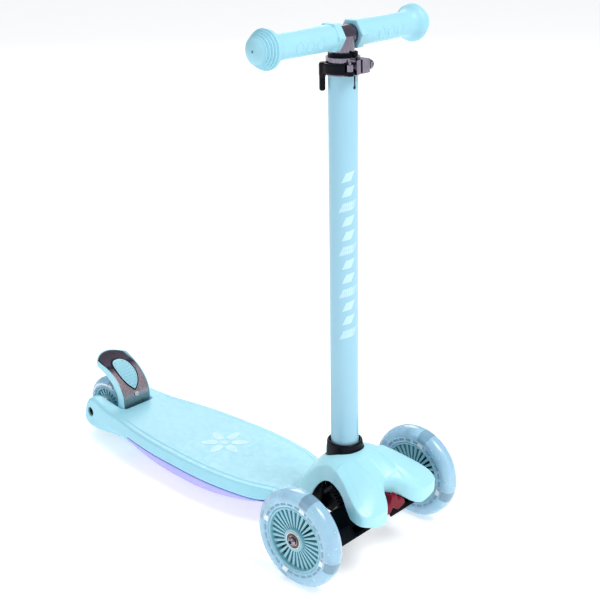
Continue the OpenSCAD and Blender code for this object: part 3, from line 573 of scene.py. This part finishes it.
# Curves of the cover, as (place, value) stations: half width along y, the notch's y along x, the top's
# ridge, edge, lip and shoulder, and the lower edges of arch and notch.
COLLAR_R = 22.4
CROWN_Y = 4
COVER_WALL = 3
ARCH_X = 34
COVER_SIDE = [(-66.5, 60.5), (-64.5, 62.4), (-58, 66.8), (-50.5, 67.3), (-42.5, 65.2), (-34.5, 61.7),
              (-26, 57.7), (-18, 53.5), (-9, 49.5), (1, 45.4), (11, 41), (26, 38), (38, 38.5), (52, 40),
              (75, 41), (97, 39.5)]
COVER_NOTCH = [(0, -36.8), (4.4, -38.8), (10.8, -43.4), (16.4, -49.4), (20.2, -55.1), (24.9, -60.7),
               (32.2, -65.5), (40, -66.6), (56, -66), (62.4, -64.5)]
RIDGE_Z = [(-66, 91), (-57, 99.5), (-51, 104.5), (-43, 110.3), (-33.6, 115.8), (-22, 121), (-12, 125),
           (0, 127.6), (4, 128), (20, 130), (60, 132)]
RIDGE_X = [(-66, 42), (-57, 36), (-51, 30), (-43, 23.4), (-33.6, 16.8), (-22, 9), (-14, 4), (0, 0)]
EDGE_Z = [(-65, 89), (-58, 91), (-51, 95), (-43, 99), (-35, 103), (-26, 107.2), (-18, 111), (-9, 114.6),
          (1, 118), (11, 119.6), (24, 119.4), (60, 119)]
LIP_Z = [(-67, 89), (-60.7, 91.4), (-55.1, 95), (-49.4, 98.6), (-43.4, 102), (-38.8, 104), (-37, 105)]
SHOULDER_Z = [(0, 130), (30, 124), (38, 119), (44, 114.5), (50, 109), (56, 102), (62, 93.5), (68, 84),
              (74, 74.5), (80, 66), (86, 60.5), (91, 57.2), (110, 56)]
ARCH_Z = [(-66.6, 77), (-55, 76), (-45, 75), (-36, 76.5), (-30, 80), (-22, 86.5), (-13, 93), (-3, 96.5),
          (10, 97), (20, 96), (28, 92.5), (35, 86), (40, 79), (44, 71.5), (48, 62), (50, 56.5), (52, 50)]
NOTCH_Z = [(0, 87), (16, 80), (25, 73), (32, 70.5), (40, 71), (52, 74), (64, 77)]


def steep(curve, at):
    """Length of a curve per unit of its run. It turns an offset along an axis into a distance."""
    return np.hypot(1, smooth(at + 0.5, curve) - smooth(at - 0.5, curve))


def cover_top(block):
    """Height of the cover's top over its plan."""
    x, y = np.abs(block.x), block.y
    ridge = smooth(y, RIDGE_X)
    out = np.clip((x - ridge) / (smooth(y, COVER_SIDE) - ridge), 0, 1)
    top = smooth(y, RIDGE_Z) + (smooth(y, EDGE_Z) - smooth(y, RIDGE_Z)) * out**1.8
    inside = (y - smooth(x, COVER_NOTCH)) / steep(COVER_NOTCH, x)
    lip = smooth(y, LIP_Z) + 0.8 * np.maximum(inside, 0)
    front_crease = 0.45 * np.exp(-(lip - top) ** 2)
    side_crease = 0.25 * np.exp(-((out - 0.78) / 0.02) ** 2) * step_up(y, 14, 4)
    top = smooth_min(top, lip, 2.5) - (front_crease + side_crease)
    from_crown = np.hypot(x, np.maximum(y - CROWN_Y, 0))
    shoulder = smooth(from_crown, SHOULDER_Z) + 4 * np.maximum(CROWN_Y - y, 0)
    return smooth_min(top, shoulder, 1.5)


def front_cover():
    """Thin shell with two horns, wheel arches, a notch ahead of the column and the collar's hole."""
    block = Block((-70, -70, 52), (70, 100, 130), 0.92)
    x, y, z = np.abs(block.x), block.y, block.z
    side = (x - smooth(y, COVER_SIDE)) / steep(COVER_SIDE, y)
    notch = (smooth(x, COVER_NOTCH) - y) / steep(COVER_NOTCH, x)
    top = cover_top(block)
    slope_x, slope_y = (np.gradient(top[:, :, 0], block.step, axis=a)[:, :, None] for a in (0, 1))
    roof = (z - top) / np.sqrt(1 + slope_x**2 + slope_y**2)
    outside = smooth_max(smooth_max(side, notch, 5), roof, 2)
    shell = smooth_max(outside, -outside - COVER_WALL, 0.6)
    arch = smooth(y, ARCH_Z)
    front_edge = smooth(x, NOTCH_Z)
    share = step_up(y, -42, -30)
    under = np.where((x < ARCH_X) & (y < 0), front_edge, front_edge * (1 - share) + arch * share)
    under = np.where((x < ARCH_X) & (y >= 0), 50, under)
    shell = smooth_max(shell, (under - z) * 0.75, 1.4)
    shell = smooth_max(shell, DECK_Z - 0.4 - z, 0.5)
    hole = COLLAR_R + 0.25 - np.hypot(x, y - COLUMN_FOOT_Y - 2.7)
    shell = smooth_max(shell, np.where(z > 90, hole, -20), 1)
    add("front_cover_shell", block.mesh(shell), "frame", "body", ["front_cover"])


def collar():
    """Black ring round the column's foot, with a dished top."""
    profile = rounded([
        (COLUMN_R + 0.1, 110.6, 0.4), (COLLAR_R, 110.6, 1), (COLLAR_R, 124, 2), (21.4, 135, 1.4),
        (20, 136.4, 0.8), (18.6, 136, 0.8), (COLUMN_R + 0.6, 131.5, 0.6), (COLUMN_R + 0.1, 130, 0.4)])
    mesh = turned(profile, COLUMN, "Z", sides=128, sharp_over=60)
    add("collar", mesh, "frame", "gloss_black", ["column_collar"])


def release():
    """Red release part between the cover's horns, and the stem that pushes the latch pin."""
    block = Block((-24, -55, 64), (24, -40, 92), 0.4)
    x, y, z = np.abs(block.x), block.y, block.z
    crown = smooth(x, [(0, 88.3), (4.5, 88), (6.5, 82.8), (14, 79.8), (21, 74.8)])
    foot = smooth(x, [(0, 71.5), (2.5, 71), (4, 69), (21, 68.5)])
    body = smooth_max(smooth_max(x - 21, (z - crown) * 0.8, 3), foot - z, 2)
    body = smooth_max(body, np.abs(y + 47.5) - 3.5, 2)
    add("release_face", block.mesh(body), "latch", "red", ["release_button"])
    level, pin_front = middle("latch_pin").z, low_high("latch_pin")[0].y - AXLE_Y
    turns = np.arange(24) * math.pi / 12
    rings = [[(2.5 * math.cos(t), end, level + 2.5 * math.sin(t)) for t in turns]
             for end in (-45, pin_front)]
    add("release_stem", skin(rings), "latch", "red")


# ---------- brake ----------

FENDER_HALF_W = 25.6
PLATE_HALF_W = 22.9
PEDAL_MID = (REAR_Y + 7, 62)
PEDAL_REACH = (61.5, 50.8)
PEDAL_FOOT = (REAR_Y - 54.5, 50)
TAIL_Y = REAR_Y + 13
PEDAL_STEP = 2


def pedal_point(degrees):
    """A point of the ellipse, from 0 degrees at its foot."""
    t = math.radians(degrees)
    return PEDAL_MID[0] - PEDAL_REACH[0] * math.cos(t), PEDAL_MID[1] + PEDAL_REACH[1] * math.sin(t)


def pedal_line():
    """Outer face of the pedal in side view: an ellipse that runs out into a straight tail."""
    line = [PEDAL_FOOT] + [pedal_point(t) for t in range(0, 72, PEDAL_STEP)]
    (ay, az), (by, bz) = line[-2:]
    reach = (TAIL_Y + 8 - by) / (by - ay)
    return line + [(by + reach * (by - ay), bz + reach * (bz - az) * 1.06)]


PEDAL = pedal_line()


def run_at(degrees):
    """Length along the pedal up to that angle of its ellipse."""
    points = [PEDAL_FOOT] + [pedal_point(t) for t in range(0, degrees + 1, PEDAL_STEP)]
    return sum(math.dist(a, b) for a, b in zip(points, points[1:]))


def tail_limit(x, y, inset):
    """Rounded rear end of the pedal, seen from above."""
    return (y - TAIL_Y + inset + 11 * (x / PLATE_HALF_W) ** 2) * 0.8


def wheel_room(x, y, z, grown, half_w):
    """The wheel's space, with the pedal pressed down fully, as the pedal sees it."""
    dy, dz = REAR_Y - HINGE_Y, REAR_R - HINGE_Z
    c, s = math.cos(BRAKE_TRAVEL), math.sin(BRAKE_TRAVEL)
    away = np.hypot(y - HINGE_Y - dy * c + dz * s, z - HINGE_Z - dy * s - dz * c)
    return smooth_max(away - REAR_R - grown, np.abs(x) - half_w, 0.5)


def fender():
    """Fender body that is also the brake pedal, and the bent metal plate laid into it."""
    block = Block((-31, 404, 36), (31, 486, 124), 0.68)
    x, y, z = block.x, block.y, block.z
    n, run = line_distance(y, z, PEDAL)
    flare = 2.8 * step_up(y, REAR_Y - 34, REAR_Y + 10)
    wide = np.abs(x) - FENDER_HALF_W - flare
    skin_part = smooth_max(n, -4.5 - n, 1)
    deep = 11 - 6 * step_up(y, REAR_Y - 34, REAR_Y + 12)
    walls = smooth_max(smooth_max(n, -deep - n, 1), -wide - 3, 1)
    body = smooth_max(smooth_min(skin_part, walls, 2.5), wide, 1)
    body = smooth_max(body, tail_limit(x, y, 0), 2)
    foot = outline_distance(y, z, rounded([
        (REAR_Y - 54.8, HINGE_Z - 1, 2), (REAR_Y - 54.8, 63, 3), (REAR_Y - 50, 66, 2),
        (REAR_Y - 43, 60, 2), (REAR_Y - 44.3, HINGE_Z - 1, 2)]))
    from_hinge = np.hypot(y - HINGE_Y, z - HINGE_Z)
    body = smooth_min(smooth_min(body, foot, 2), from_hinge - 6.3, 2)
    corner = np.hypot(np.maximum(wide + 6, 0), np.maximum(SLOT_Y + SLOT_CORNER - y, 0)) - 6
    body = smooth_max(body, corner, 2.2)
    plate_wide = np.abs(x) - PLATE_HALF_W - 0.9 * flare
    lay = smooth_max(smooth_max(plate_wide - 0.25, -1.5 - n, 0.3), tail_limit(x, y, 2.2), 1)
    gap = smooth_max(smooth_max(from_hinge - 12, np.abs(x) - 5, 0.5), n + 2.4, 0.5)
    room = wheel_room(x, y, z, 3, TYRE_W / 2 + 2)
    for hole in (lay, gap, room, from_hinge - 2.6):
        body = smooth_max(body, -hole, 0.7)
    add("fender", block.mesh(body), "brake", "body", ["brake_fender"])
    plate = smooth_max(smooth_max(plate_wide, smooth_max(n + 0.25, -1.6 - n, 0.4), 0.5),
                       tail_limit(x, y, 2.5), 0.6)
    low_corner = np.hypot(np.maximum(np.abs(x) - PLATE_HALF_W + 5, 0), np.maximum(7 - run, 0)) - 5
    plate = smooth_max(plate, low_corner, 0.5)
    add("plate", block.mesh(plate), "brake", "plate", ["brake_plate"])


PAD_HALF_W = 14.2
PAD_ARC = 21.6
PAD_TAIL = 26
RIB_PITCH = 4.6


def grip_pad():
    """Ribbed leaf: blunt at the tail and pointed at the foot, on a thin dark seat."""
    block = Block((-18, 408, 54), (18, 462, 120), 0.5)
    x, y, z = np.abs(block.x), block.y, block.z
    n, run = line_distance(y, z, PEDAL)
    along = run - run_at(48)
    point = np.hypot(x + PAD_ARC, np.minimum(along, 0)) - PAD_ARC - PAD_HALF_W
    blunt = ((x / PAD_HALF_W) ** 2.5 + (np.maximum(along, 0) / PAD_TAIL) ** 2.5) ** 0.4 - 1
    rim = np.where(along < 0, point, PAD_HALF_W * blunt)
    ribs = (0.5 + 0.5 * np.cos(along * 2 * math.pi / RIB_PITCH)) * step_up(-rim, 1.6, 2.8)
    dome = 0.4 + 1.9 * step_up(-rim, -0.5, 7) - ribs
    pad = smooth_max(smooth_max(rim, n - dome, 1.2), -0.5 - n, 0.3)
    add("brake_pad", block.mesh(pad), "brake", "grip", ["brake_grip_pad"])
    seat = smooth_max(smooth_max(rim - 1.4, n - 0.35, 0.4), -0.45 - n, 0.3)
    add("pad_seat", block.mesh(seat), "brake", "black")


# ---------- grips ----------

GRIP_IN = low_high("left_grip")[0].x
STEP_R = (21.3, 20, 18.4, 16.7, 14.9)
STEP = 2.9
CAP_START = BAR_HALF - 19
FLANGE_W = 11
FLANGE_HALF = 17
SCALLOP_AT, SCALLOP_HALF_W = 68, 34
SCALLOP_TURN = math.radians(112)
RING_PITCH = 16
GRIP_SIDES = 128


def grip_radius(along, turn):
    """Radius of a grip at a length from the bar's middle and an angle from the front, in radians."""
    end = BAR_HALF
    body = smooth(along, [
        (GRIP_IN, 14), (end - 60, 14), (end - 36, 14), (end - 31, 14.6), (end - 27, 16.6),
        (end - 23.5, 19.4), (end - 21, 21), (CAP_START, STEP_R[0]), (end - 4.4, 13.4), (end - 3, 11.4),
        (end - 1.5, 8), (end - 0.6, 5), (end - 0.1, 2)])
    at = along - CAP_START
    ridge = np.array(STEP_R)[np.clip(at / STEP, 0, len(STEP_R) - 1).astype(int)]
    ridge = ridge - 0.9 * (at % STEP > STEP - 0.7) - 0.25 * (at % STEP < 0.4)
    body = np.where((at > 0) & (at < STEP * len(STEP_R)), ridge, body)
    sixth = math.pi / 3
    hexagon = FLANGE_HALF * math.cos(sixth / 2) / np.cos((turn % sixth) - sixth / 2)
    chamfers = step_up(along, GRIP_IN + 0.9, GRIP_IN) + step_up(along, GRIP_IN + 10, GRIP_IN + 10.8)
    hexagon = np.minimum(hexagon, FLANGE_HALF - 0.1) - 1.2 * chamfers
    body = np.where(along < GRIP_IN + FLANGE_W, hexagon, body)
    hollow = 12.2 + 1.9 * ((along - SCALLOP_AT) / SCALLOP_HALF_W) ** 2
    facing = np.cos(turn - SCALLOP_TURN)
    body = np.where((facing > 0.3) & (np.abs(along - SCALLOP_AT) < SCALLOP_HALF_W),
                    np.minimum(body, hollow / np.maximum(facing, 0.3)), body)
    for k in range(3):
        away = np.hypot(along - 50 - RING_PITCH * k, 14 * (turn + math.radians(7)))
        body = body + np.exp(-((away - 5.4) / 0.8) ** 2)
    return body


def grip(name, side):
    """A moulded grip: hexagonal inner flange, plain body, flared end with a stepped round cap."""
    turns = np.arange(GRIP_SIDES) * 2 * math.pi / GRIP_SIDES
    signed = (turns + math.pi) % (2 * math.pi) - math.pi
    cap = CAP_START - GRIP_IN
    steps = [cap + STEP * k + at for k in range(len(STEP_R)) for at in (0.05, 0.35, 0.5, 2.1, 2.25, 2.8)]
    spaced = np.concatenate((
        [0, 0.01], np.arange(0.3, 12, 0.45), np.arange(12, cap - 20, 0.7), np.arange(cap - 20, cap, 0.5),
        steps, np.arange(cap + 14.6, cap + 18.9, 0.36)))
    around = np.ones(GRIP_SIDES)
    rings = [(along, grip_radius(along * around, signed)) for along in spaced + GRIP_IN]
    rings[0] = (GRIP_IN, 11.05 * around)
    rings += [(BAR_HALF - deep, r * around) for deep, r in ((0.05, 1.6), (0.4, 1.45), (5, 1.4))]
    points = [np.stack((side * a * around, -r * np.cos(turns), r * np.sin(turns)), 1) for a, r in rings]
    add(f"{name}_grip_rubber", skin(points, BAR, sharp_over=42), "handlebar", "grip",
        [f"{name}_grip"])


# ---------- clamp lever ----------

CAM = (-13.5, -21.5)
LEVER_R = (19.4, 23.6)
HOOK_R = 26
LEVER_Z = (574.5, 586.8)
LEVER_TURN = (133, 236)
HOOK_Z = 555.5


def ring_part(x, y, z, turn, span, outer):
    """Part of a ring round the column between two bearings, given in degrees."""
    r, a = np.hypot(x, y), np.arctan2(y, x)
    walls = smooth_max(LEVER_R[0] - r, r - outer, 1.6)
    ends = smooth_max(r * np.sin(a - math.radians(turn[1])), r * np.sin(math.radians(turn[0]) - a), 1)
    return smooth_max(smooth_max(walls, ends, 2.5), smooth_max(span[0] - z, z - span[1], 1), 2.5)


def clamp_lever():
    """Curved lever round the column, its hook that hangs down, and the forked eye on the cam pin."""
    block = Block((-27, -30, 552), (4, 22, 593), 0.45, COLUMN)
    x, y, z = block.x, block.y, block.z
    body = ring_part(x, y, z, LEVER_TURN, LEVER_Z, LEVER_R[1])
    hook_turn = (LEVER_TURN[0] - 1, LEVER_TURN[0] + 16)
    hook = ring_part(x, y, z, hook_turn, (HOOK_Z, LEVER_Z[1] - 1.5), HOOK_R)
    from_cam = np.hypot(x - CAM[0], y - CAM[1])
    eye = smooth_max(from_cam - 4.8, np.abs(z - sum(LEVER_Z) / 2) - 6.2, 1.5)
    body = smooth_min(smooth_min(body, hook, 5), eye, 3)
    fork = smooth_max(from_cam - 5.2, np.abs(z - 583) - 3.8, 0.4)
    body = smooth_max(body, -fork, 0.6)
    body = smooth_max(body, 1.5 - from_cam, 0.3)
    add("lever_arm", block.mesh(body), "lever", "gloss_black", ["clamp_lever"])


# ---------- wheels ----------

BEAD = 0.675
WHEEL_R = {"left": FRONT_R, "right": FRONT_R, "rear": REAR_R}
BLADES = {"left": 30, "right": 30, "rear": 20}
DASHES = {"left": 26, "right": 26, "rear": 18}
BEAD_LIP = 1.6
RIM_DEEP = 4


def crown_line(name, off, end, count):
    """The tyre's crown as (radius, length) points from flank to flank, off by a length."""
    crown = TYRE_W / 2 - 1
    return [(WHEEL_R[name] - crown + (crown + off) * math.cos(t), side + (crown + off) * math.sin(t))
            for side, start, stop in ((1, end, 0), (-1, 0, -end))
            for t in np.radians(np.linspace(start, stop, count))]


def tyre(name):
    """Tread with a round crown, flanks that dip towards the hub, and a bead."""
    r, half = WHEEL_R[name], TYRE_W / 2
    flank = [(r - half, half), (r * BEAD + 6, half - 0.2), (r * BEAD + 5.2, half - 0.7),
             (r * BEAD + 2.6, half - 0.8), (r * BEAD + BEAD_LIP, half - 1.2)]
    profile = [(r * BEAD, -half + BEAD_LIP), (r * BEAD, half - BEAD_LIP)] + flank[::-1]
    profile += crown_line(name, 0, 88, 14) + [(a, -b) for a, b in flank]
    mesh = turned(profile, WHEELS[name], sides=160, sharp_over=40)
    wheel_part(name, "tyre_cast", mesh, "tyre", ["tyre"])


def spun(points, turn):
    """Points of an (x, radius, across) shape turned about the wheel's axle."""
    c, s = math.cos(turn), math.sin(turn)
    return [(x, r * c - t * s, r * s + t * c) for x, r, t in points]


def blade(name, turn):
    """A blade spoke from the boss to the rim, thicker at the rim."""
    r = WHEEL_R[name]
    scale = 30 / BLADES[name] * r / FRONT_R
    rings = []
    for share, half_t, half_w in ((0, 0.8, 7.8), (0.35, 1.1, 7.6), (1, 1.9 * scale, 7.2)):
        at = BEARING_R + 1.5 + share * (r * BEAD - RIM_DEEP - BEARING_R)
        corners = ((-half_w, -half_t), (half_w, -half_t), (half_w, half_t), (-half_w, half_t))
        rings.append(spun([(w, at, t) for w, t in corners], turn))
    return np.array(rings)


def many(sets, place):
    """One mesh from several closed shapes, each a run of rings."""
    points, faces = [], []
    for rings in sets:
        rings = np.asarray(rings, float)
        m, n = rings.shape[:2]
        base = len(points)
        points += [tuple(p) for ring in rings for p in ring]
        for i in range(m - 1):
            a, b = base + i * n, base + (i + 1) * n
            faces += [(a + j, a + (j + 1) % n, b + (j + 1) % n, b + j) for j in range(n)]
        faces += [tuple(range(base, base + n))[::-1], tuple(range(base + (m - 1) * n, base + m * n))]
    return make_mesh(row(points, place), faces)


def wheel_part(name, part, mesh, material, replaced=()):
    """A piece of a wheel that stands for the wheel's own nodes of the given kinds."""
    nodes = [f"{name}_{kind}" for kind in replaced]
    add(f"{name}_{part}", mesh, f"{name}_wheel", material, nodes)


def hub(name):
    """Rim with a raised ring, boss, web disc and blades. The web disc is near black: painted shade in the deep
    gaps between the blades.
    """
    r, half, place = WHEEL_R[name], TYRE_W / 2, WHEELS[name]
    rim = r * BEAD - 0.05
    ring = rounded([
        (rim, -half + 1.9, 0.8), (rim, half - 1.9, 0.8), (rim - 1.6, half - 0.9, 0.8),
        (rim - 3.2, half - 1.9, 0.8), (rim - RIM_DEEP, 3, 1), (rim - RIM_DEEP, -3, 1),
        (rim - 3.2, -half + 1.9, 0.8), (rim - 1.6, -half + 0.9, 0.8)])
    wheel_part(name, "rim", turned(ring, place, sides=128, sharp_over=50), "hub", ["hub"])
    boss = rounded([(BEARING_R + 0.02, -half + 0.4, 0.4), (BEARING_R + 2.6, -half + 0.4, 0.8),
                    (BEARING_R + 3.2, -half + 3, 1), (BEARING_R + 3.2, half - 3, 1),
                    (BEARING_R + 2.6, half - 0.4, 0.8), (BEARING_R + 0.02, half - 0.4, 0.4)])
    wheel_part(name, "boss", turned(boss, place, sharp_over=50), "hub")
    # The web carries painted shade: it is near black so that the gaps between the blades look deep and shadowed
    web = [(BEARING_R + 1, -1), (BEARING_R + 1, 1), (rim - 2, 1), (rim - 2, -1)]
    wheel_part(name, "web", turned(web, place), "slot")
    blades = [blade(name, k * 2 * math.pi / BLADES[name]) for k in range(BLADES[name])]
    wheel_part(name, "blades", many(blades, place), "hub")


def flank_dashes(name):
    """Ring of short raised marks moulded in each flank, beside the bead."""
    at, half, count = WHEEL_R[name] * BEAD + 3.9, TYRE_W / 2, DASHES[name]
    marks = []
    for side, k in itertools.product((-1, 1), range(count)):
        rings = []
        for t in np.linspace(-0.34, 0.34, 4) * 2 * math.pi / count:
            a, b = side * (half - 1), side * (half - 0.5)
            corners = ((a, -1.4), (b, -1.2), (b, 1.1), (a, 1.3))
            rings.append(spun([(x, at + up, 0) for x, up in corners], t + k * 2 * math.pi / count))
        marks.append(rings if side > 0 else rings[::-1])
    wheel_part(name, "marks", many(marks, WHEELS[name]), "dash")


LIGHT_TURNS = [math.radians(17 + 90 * k) for k in range(4)]
WINDOW_HALF = 7.2


def windows(name):
    """Clear windows over the lights, moulded flush with the tyre's skin from flank to flank."""
    patches = []
    for turn in LIGHT_TURNS:
        rings = []
        for t in np.linspace(-1, 1, 9):
            outline = crown_line(name, 0.08, 86, 12) + crown_line(name, -0.5, 86, 12)[::-1]
            edge = [(across, radius, 0) for radius, across in outline]
            rings.append(spun(edge, turn + WINDOW_HALF * t / WHEEL_R[name]))
        patches.append(rings)
    wheel_part(name, "windows", many(patches, WHEELS[name]), "window")


def lights(name):
    """Clear light blocks that show through the windows."""
    r, half = WHEEL_R[name], TYRE_W / 2
    blocks = []
    for turn in LIGHT_TURNS:
        rings = []
        for x, shrink in ((-half + 0.1, 0.7), (-half + 0.7, 0), (half - 0.7, 0), (half - 0.1, 0.7)):
            low, high, wide = r * BEAD + 0.8 + shrink, r * BEAD + 7.5 - shrink, 4.6 - shrink
            corners = ((low, -wide), (low, wide), (high, wide * 0.8), (high, -wide * 0.8))
            rings.append(spun([(x, up, t) for up, t in corners], turn))
        blocks.append(rings)
    wheel_part(name, "light_blocks", many(blocks, WHEELS[name]), "light", ["lights"])


INNER_RACE = (4.08, 6.2)
OUTER_RACE = (9.3, 10.9)


def bearing(name):
    """Two ball bearings: steel outer and inner rings with a brown seal between them."""
    races, seals = [], []
    (bore, low), (high, rim) = INNER_RACE, OUTER_RACE
    for side in (-1, 1):
        place = WHEELS[name] @ shift(side * TYRE_W / 2, 0, 0) @ Matrix.Scale(-side, 4, (1, 0, 0))
        outer = rounded([(high, 0.1, 0.2), (rim, 0.1, 0.4), (rim, 6.9, 0.4), (high, 6.9, 0.2)])
        inner = rounded([(bore, 0.1, 0.2), (low, 0.1, 0.3), (low, 6.9, 0.3), (bore, 6.9, 0.2)])
        seal = rounded([(low, 0.7, 0.1), (high, 0.7, 0.1), (high, 6.3, 0.1), (low, 6.3, 0.1)])
        races += [turned(ring, place, sides=72, sharp_over=50) for ring in (outer, inner)]
        seals.append(turned(seal, place, sides=72))
    wheel_part(name, "races", joined(races), "steel", ["bearings"])
    wheel_part(name, "seals", joined(seals), "seal")


def joined(meshes):
    """One mesh from several."""
    points, faces = [], []
    for mesh in meshes:
        base = len(points)
        points += [tuple(v.co) for v in mesh.vertices]
        faces += [tuple(base + i for i in p.vertices) for p in mesh.polygons]
        bpy.data.meshes.remove(mesh)
    return make_mesh(points, faces, sharp_over=45)


# ---------- printed patterns ----------

FLOWER_Y = 235
PETALS = 6
DASH_FOOT, DASH_PITCH, DASH_H = 272, 16.8, 11
DASH_MID = math.radians(-120)


def deck_motif():
    """A plain flower printed on the deck."""
    outlines = []
    for turn in np.arange(PETALS) * 2 * math.pi / PETALS + 0.3:
        petal = []
        for t in np.arange(28) * math.pi / 14:
            out, across = 21 + 12 * math.cos(t), 6.2 * math.sin(t) * (1 - 0.25 * math.cos(t))
            petal.append((out * math.sin(turn) - across * math.cos(turn),
                          FLOWER_Y + out * math.cos(turn) + across * math.sin(turn)))
        outlines.append(petal)
    turns = np.arange(32) * math.pi / 16
    outlines.append([(5.5 * math.cos(t), FLOWER_Y + 5.5 * math.sin(t)) for t in turns])
    span = (DECK_Z - 0.3, DECK_Z + 0.07)
    shapes = [[[(x, y, z) for x, y in outline] for z in span] for outline in outlines]
    add("deck_motif", many(shapes, AT_AXLE), "frame", "deck_mark")


def column_motif():
    """Slanted dashes printed down the front of the column."""
    shapes = []
    for k in range(12):
        foot, wide = DASH_FOOT + DASH_PITCH * k, math.radians(38 if k % 3 else 62)
        rings = []
        for up in np.linspace(0, 1, 5):
            mid = DASH_MID + (up - 0.5) * 0.3
            turns = mid + np.linspace(-wide / 2, wide / 2, 8)
            faces = ((COLUMN_R + 0.06, turns), (COLUMN_R - 0.5, turns[::-1]))
            rings.append([(r * math.cos(t), r * math.sin(t), foot + up * DASH_H + 4 * (t - mid))
                          for r, ts in faces for t in ts])
        shapes.append(rings)
    add("column_motif", many(shapes, COLUMN), "frame", "mark")


# ---------- the CAD pieces that are shown as they are ----------

def dress_cad():
    dress("paint", ["column"], 0.3)
    dress("chrome", ["clamp_band", "clamp_bolt", "clamp_nut", "clamp_washers", "lever_pin",
                     "front_axle_washers", "stem_tube"], 0.35)
    dress("chrome", ["front_axle_bolts"], 0.4)
    dress("bar", ["crossbar"], 0.2)
    dress("steel", ["belly_screws", "cover_screws", "head_bolts", "latch_pin", "kingpin", "kingpin_nut",
                    "kingpin_washers", "brake_screw", "brake_hinge_pin"], 0.3)
    dress("steel", ["latch_spring", "brake_spring", "left_spacer", "right_spacer", "rear_spacer"])
    dress("gloss_black", ["truck_beam"], 1.2)
    dress("black", ["head_block", "column_bush", "stem_plug", "rear_axle_sleeves", "rear_axle_bolt",
                    "rear_axle_nut"], 0.5)
    dress("black", ["steering_springs"])
    dress("shoe", ["brake_shoe"], 0.3)
    dress("bush", ["truck_bushings"], 0.4)


# ---------- studio ----------

def area_light(name, place, target, size, watts):
    """A round soft box that looks at a target."""
    light = bpy.data.lights.new(name, "AREA")
    light.shape, light.size, light.energy = "DISK", size, watts
    lamp = new_object(name, light)
    lamp.location = place
    lamp.rotation_euler = (Vector(target) - Vector(place)).to_track_quat("-Z", "Y").to_euler()


# Lengths from here on are in metres.
FLOOR_HALF = 6.0
FLOOR_GLOW = 0.42
LIT_BY_WORLD, SEEN_WORLD = 0.52, 1.2
LIT_POINT = (0, 0, 0.25)
CAMERA_PLACE = (-1.03316, -1.07184, 0.83704)
AZIMUTH, ELEVATION = math.radians(-47.36), math.radians(21.12)
SENSOR_MM, LENS_MM = 36, 75.92


def floor():
    """Pale floor that glows a little, so that shadows on it stay faint."""
    material, shader = new_material("floor", (0.86, 0.87, 0.88), 0.75)
    nodes = Nodes(material)
    tint = nodes.mix(nodes.noise(300, detail=2), (0.93, 0.935, 0.94), (0.95, 0.955, 0.96))
    nodes.link(tint, shader.inputs["Base Color"])
    nodes.link(nodes.bump(nodes.noise(2, detail=3), 0.02), shader.inputs["Normal"])
    shader.inputs["Emission Color"].default_value = (1, 1, 1, 1)
    shader.inputs["Emission Strength"].default_value = FLOOR_GLOW
    corners = [(x * FLOOR_HALF, y * FLOOR_HALF, 0) for x, y in ((-1, -1), (1, -1), (1, 1), (-1, 1))]
    plane = new_object("floor", make_mesh(corners, [(0, 1, 2, 3)]))
    plane.data.materials.append(material)


def surround():
    """Even white surround, which the camera sees brighter than it lights the scooter."""
    world = bpy.data.worlds.new("surround")
    world.use_nodes = True
    tree = world.node_tree
    background = tree.nodes["Background"]
    background.inputs["Color"].default_value = (0.95, 0.97, 1, 1)
    ray = tree.nodes.new("ShaderNodeLightPath").outputs["Is Camera Ray"]
    share = tree.nodes.new("ShaderNodeMapRange")
    share.inputs["To Min"].default_value = LIT_BY_WORLD
    share.inputs["To Max"].default_value = SEEN_WORLD
    tree.links.new(ray, share.inputs["Value"])
    tree.links.new(share.outputs["Result"], background.inputs["Strength"])
    bpy.context.scene.world = world


def studio():
    """Floor, soft box lights and surround."""
    floor()
    area_light("key", (0.2, -1.8, 2.9), LIT_POINT, 1.5, 68)
    area_light("fill", (-2.4, 0.3, 1.2), LIT_POINT, 1.8, 8)
    area_light("rim", (1.6, 1.8, 1.8), LIT_POINT, 1.4, 24)
    surround()
    bpy.context.scene.view_settings.view_transform = "Standard"


def camera():
    """The camera stands at the front right of the scooter, about 1.6 m from its middle."""
    lens = bpy.data.cameras.new("camera")
    lens.sensor_width, lens.lens = SENSOR_MM, LENS_MM
    view = new_object("camera", lens)
    view.location = CAMERA_PLACE
    level = math.cos(ELEVATION)
    back = Vector((math.sin(AZIMUTH) * level, -math.cos(AZIMUTH) * level, math.sin(ELEVATION)))
    view.rotation_euler = (-back).to_track_quat("-Z", "Y").to_euler()
    bpy.context.scene.camera = view


deck()
belly()
front_cover()
collar()
release()
fender()
grip_pad()
grip("left", 1)
grip("right", -1)
clamp_lever()
for wheel in WHEELS:
    tyre(wheel)
    hub(wheel)
    flank_dashes(wheel)
    windows(wheel)
    lights(wheel)
    bearing(wheel)
deck_motif()
column_motif()
dress_cad()
studio()
camera()
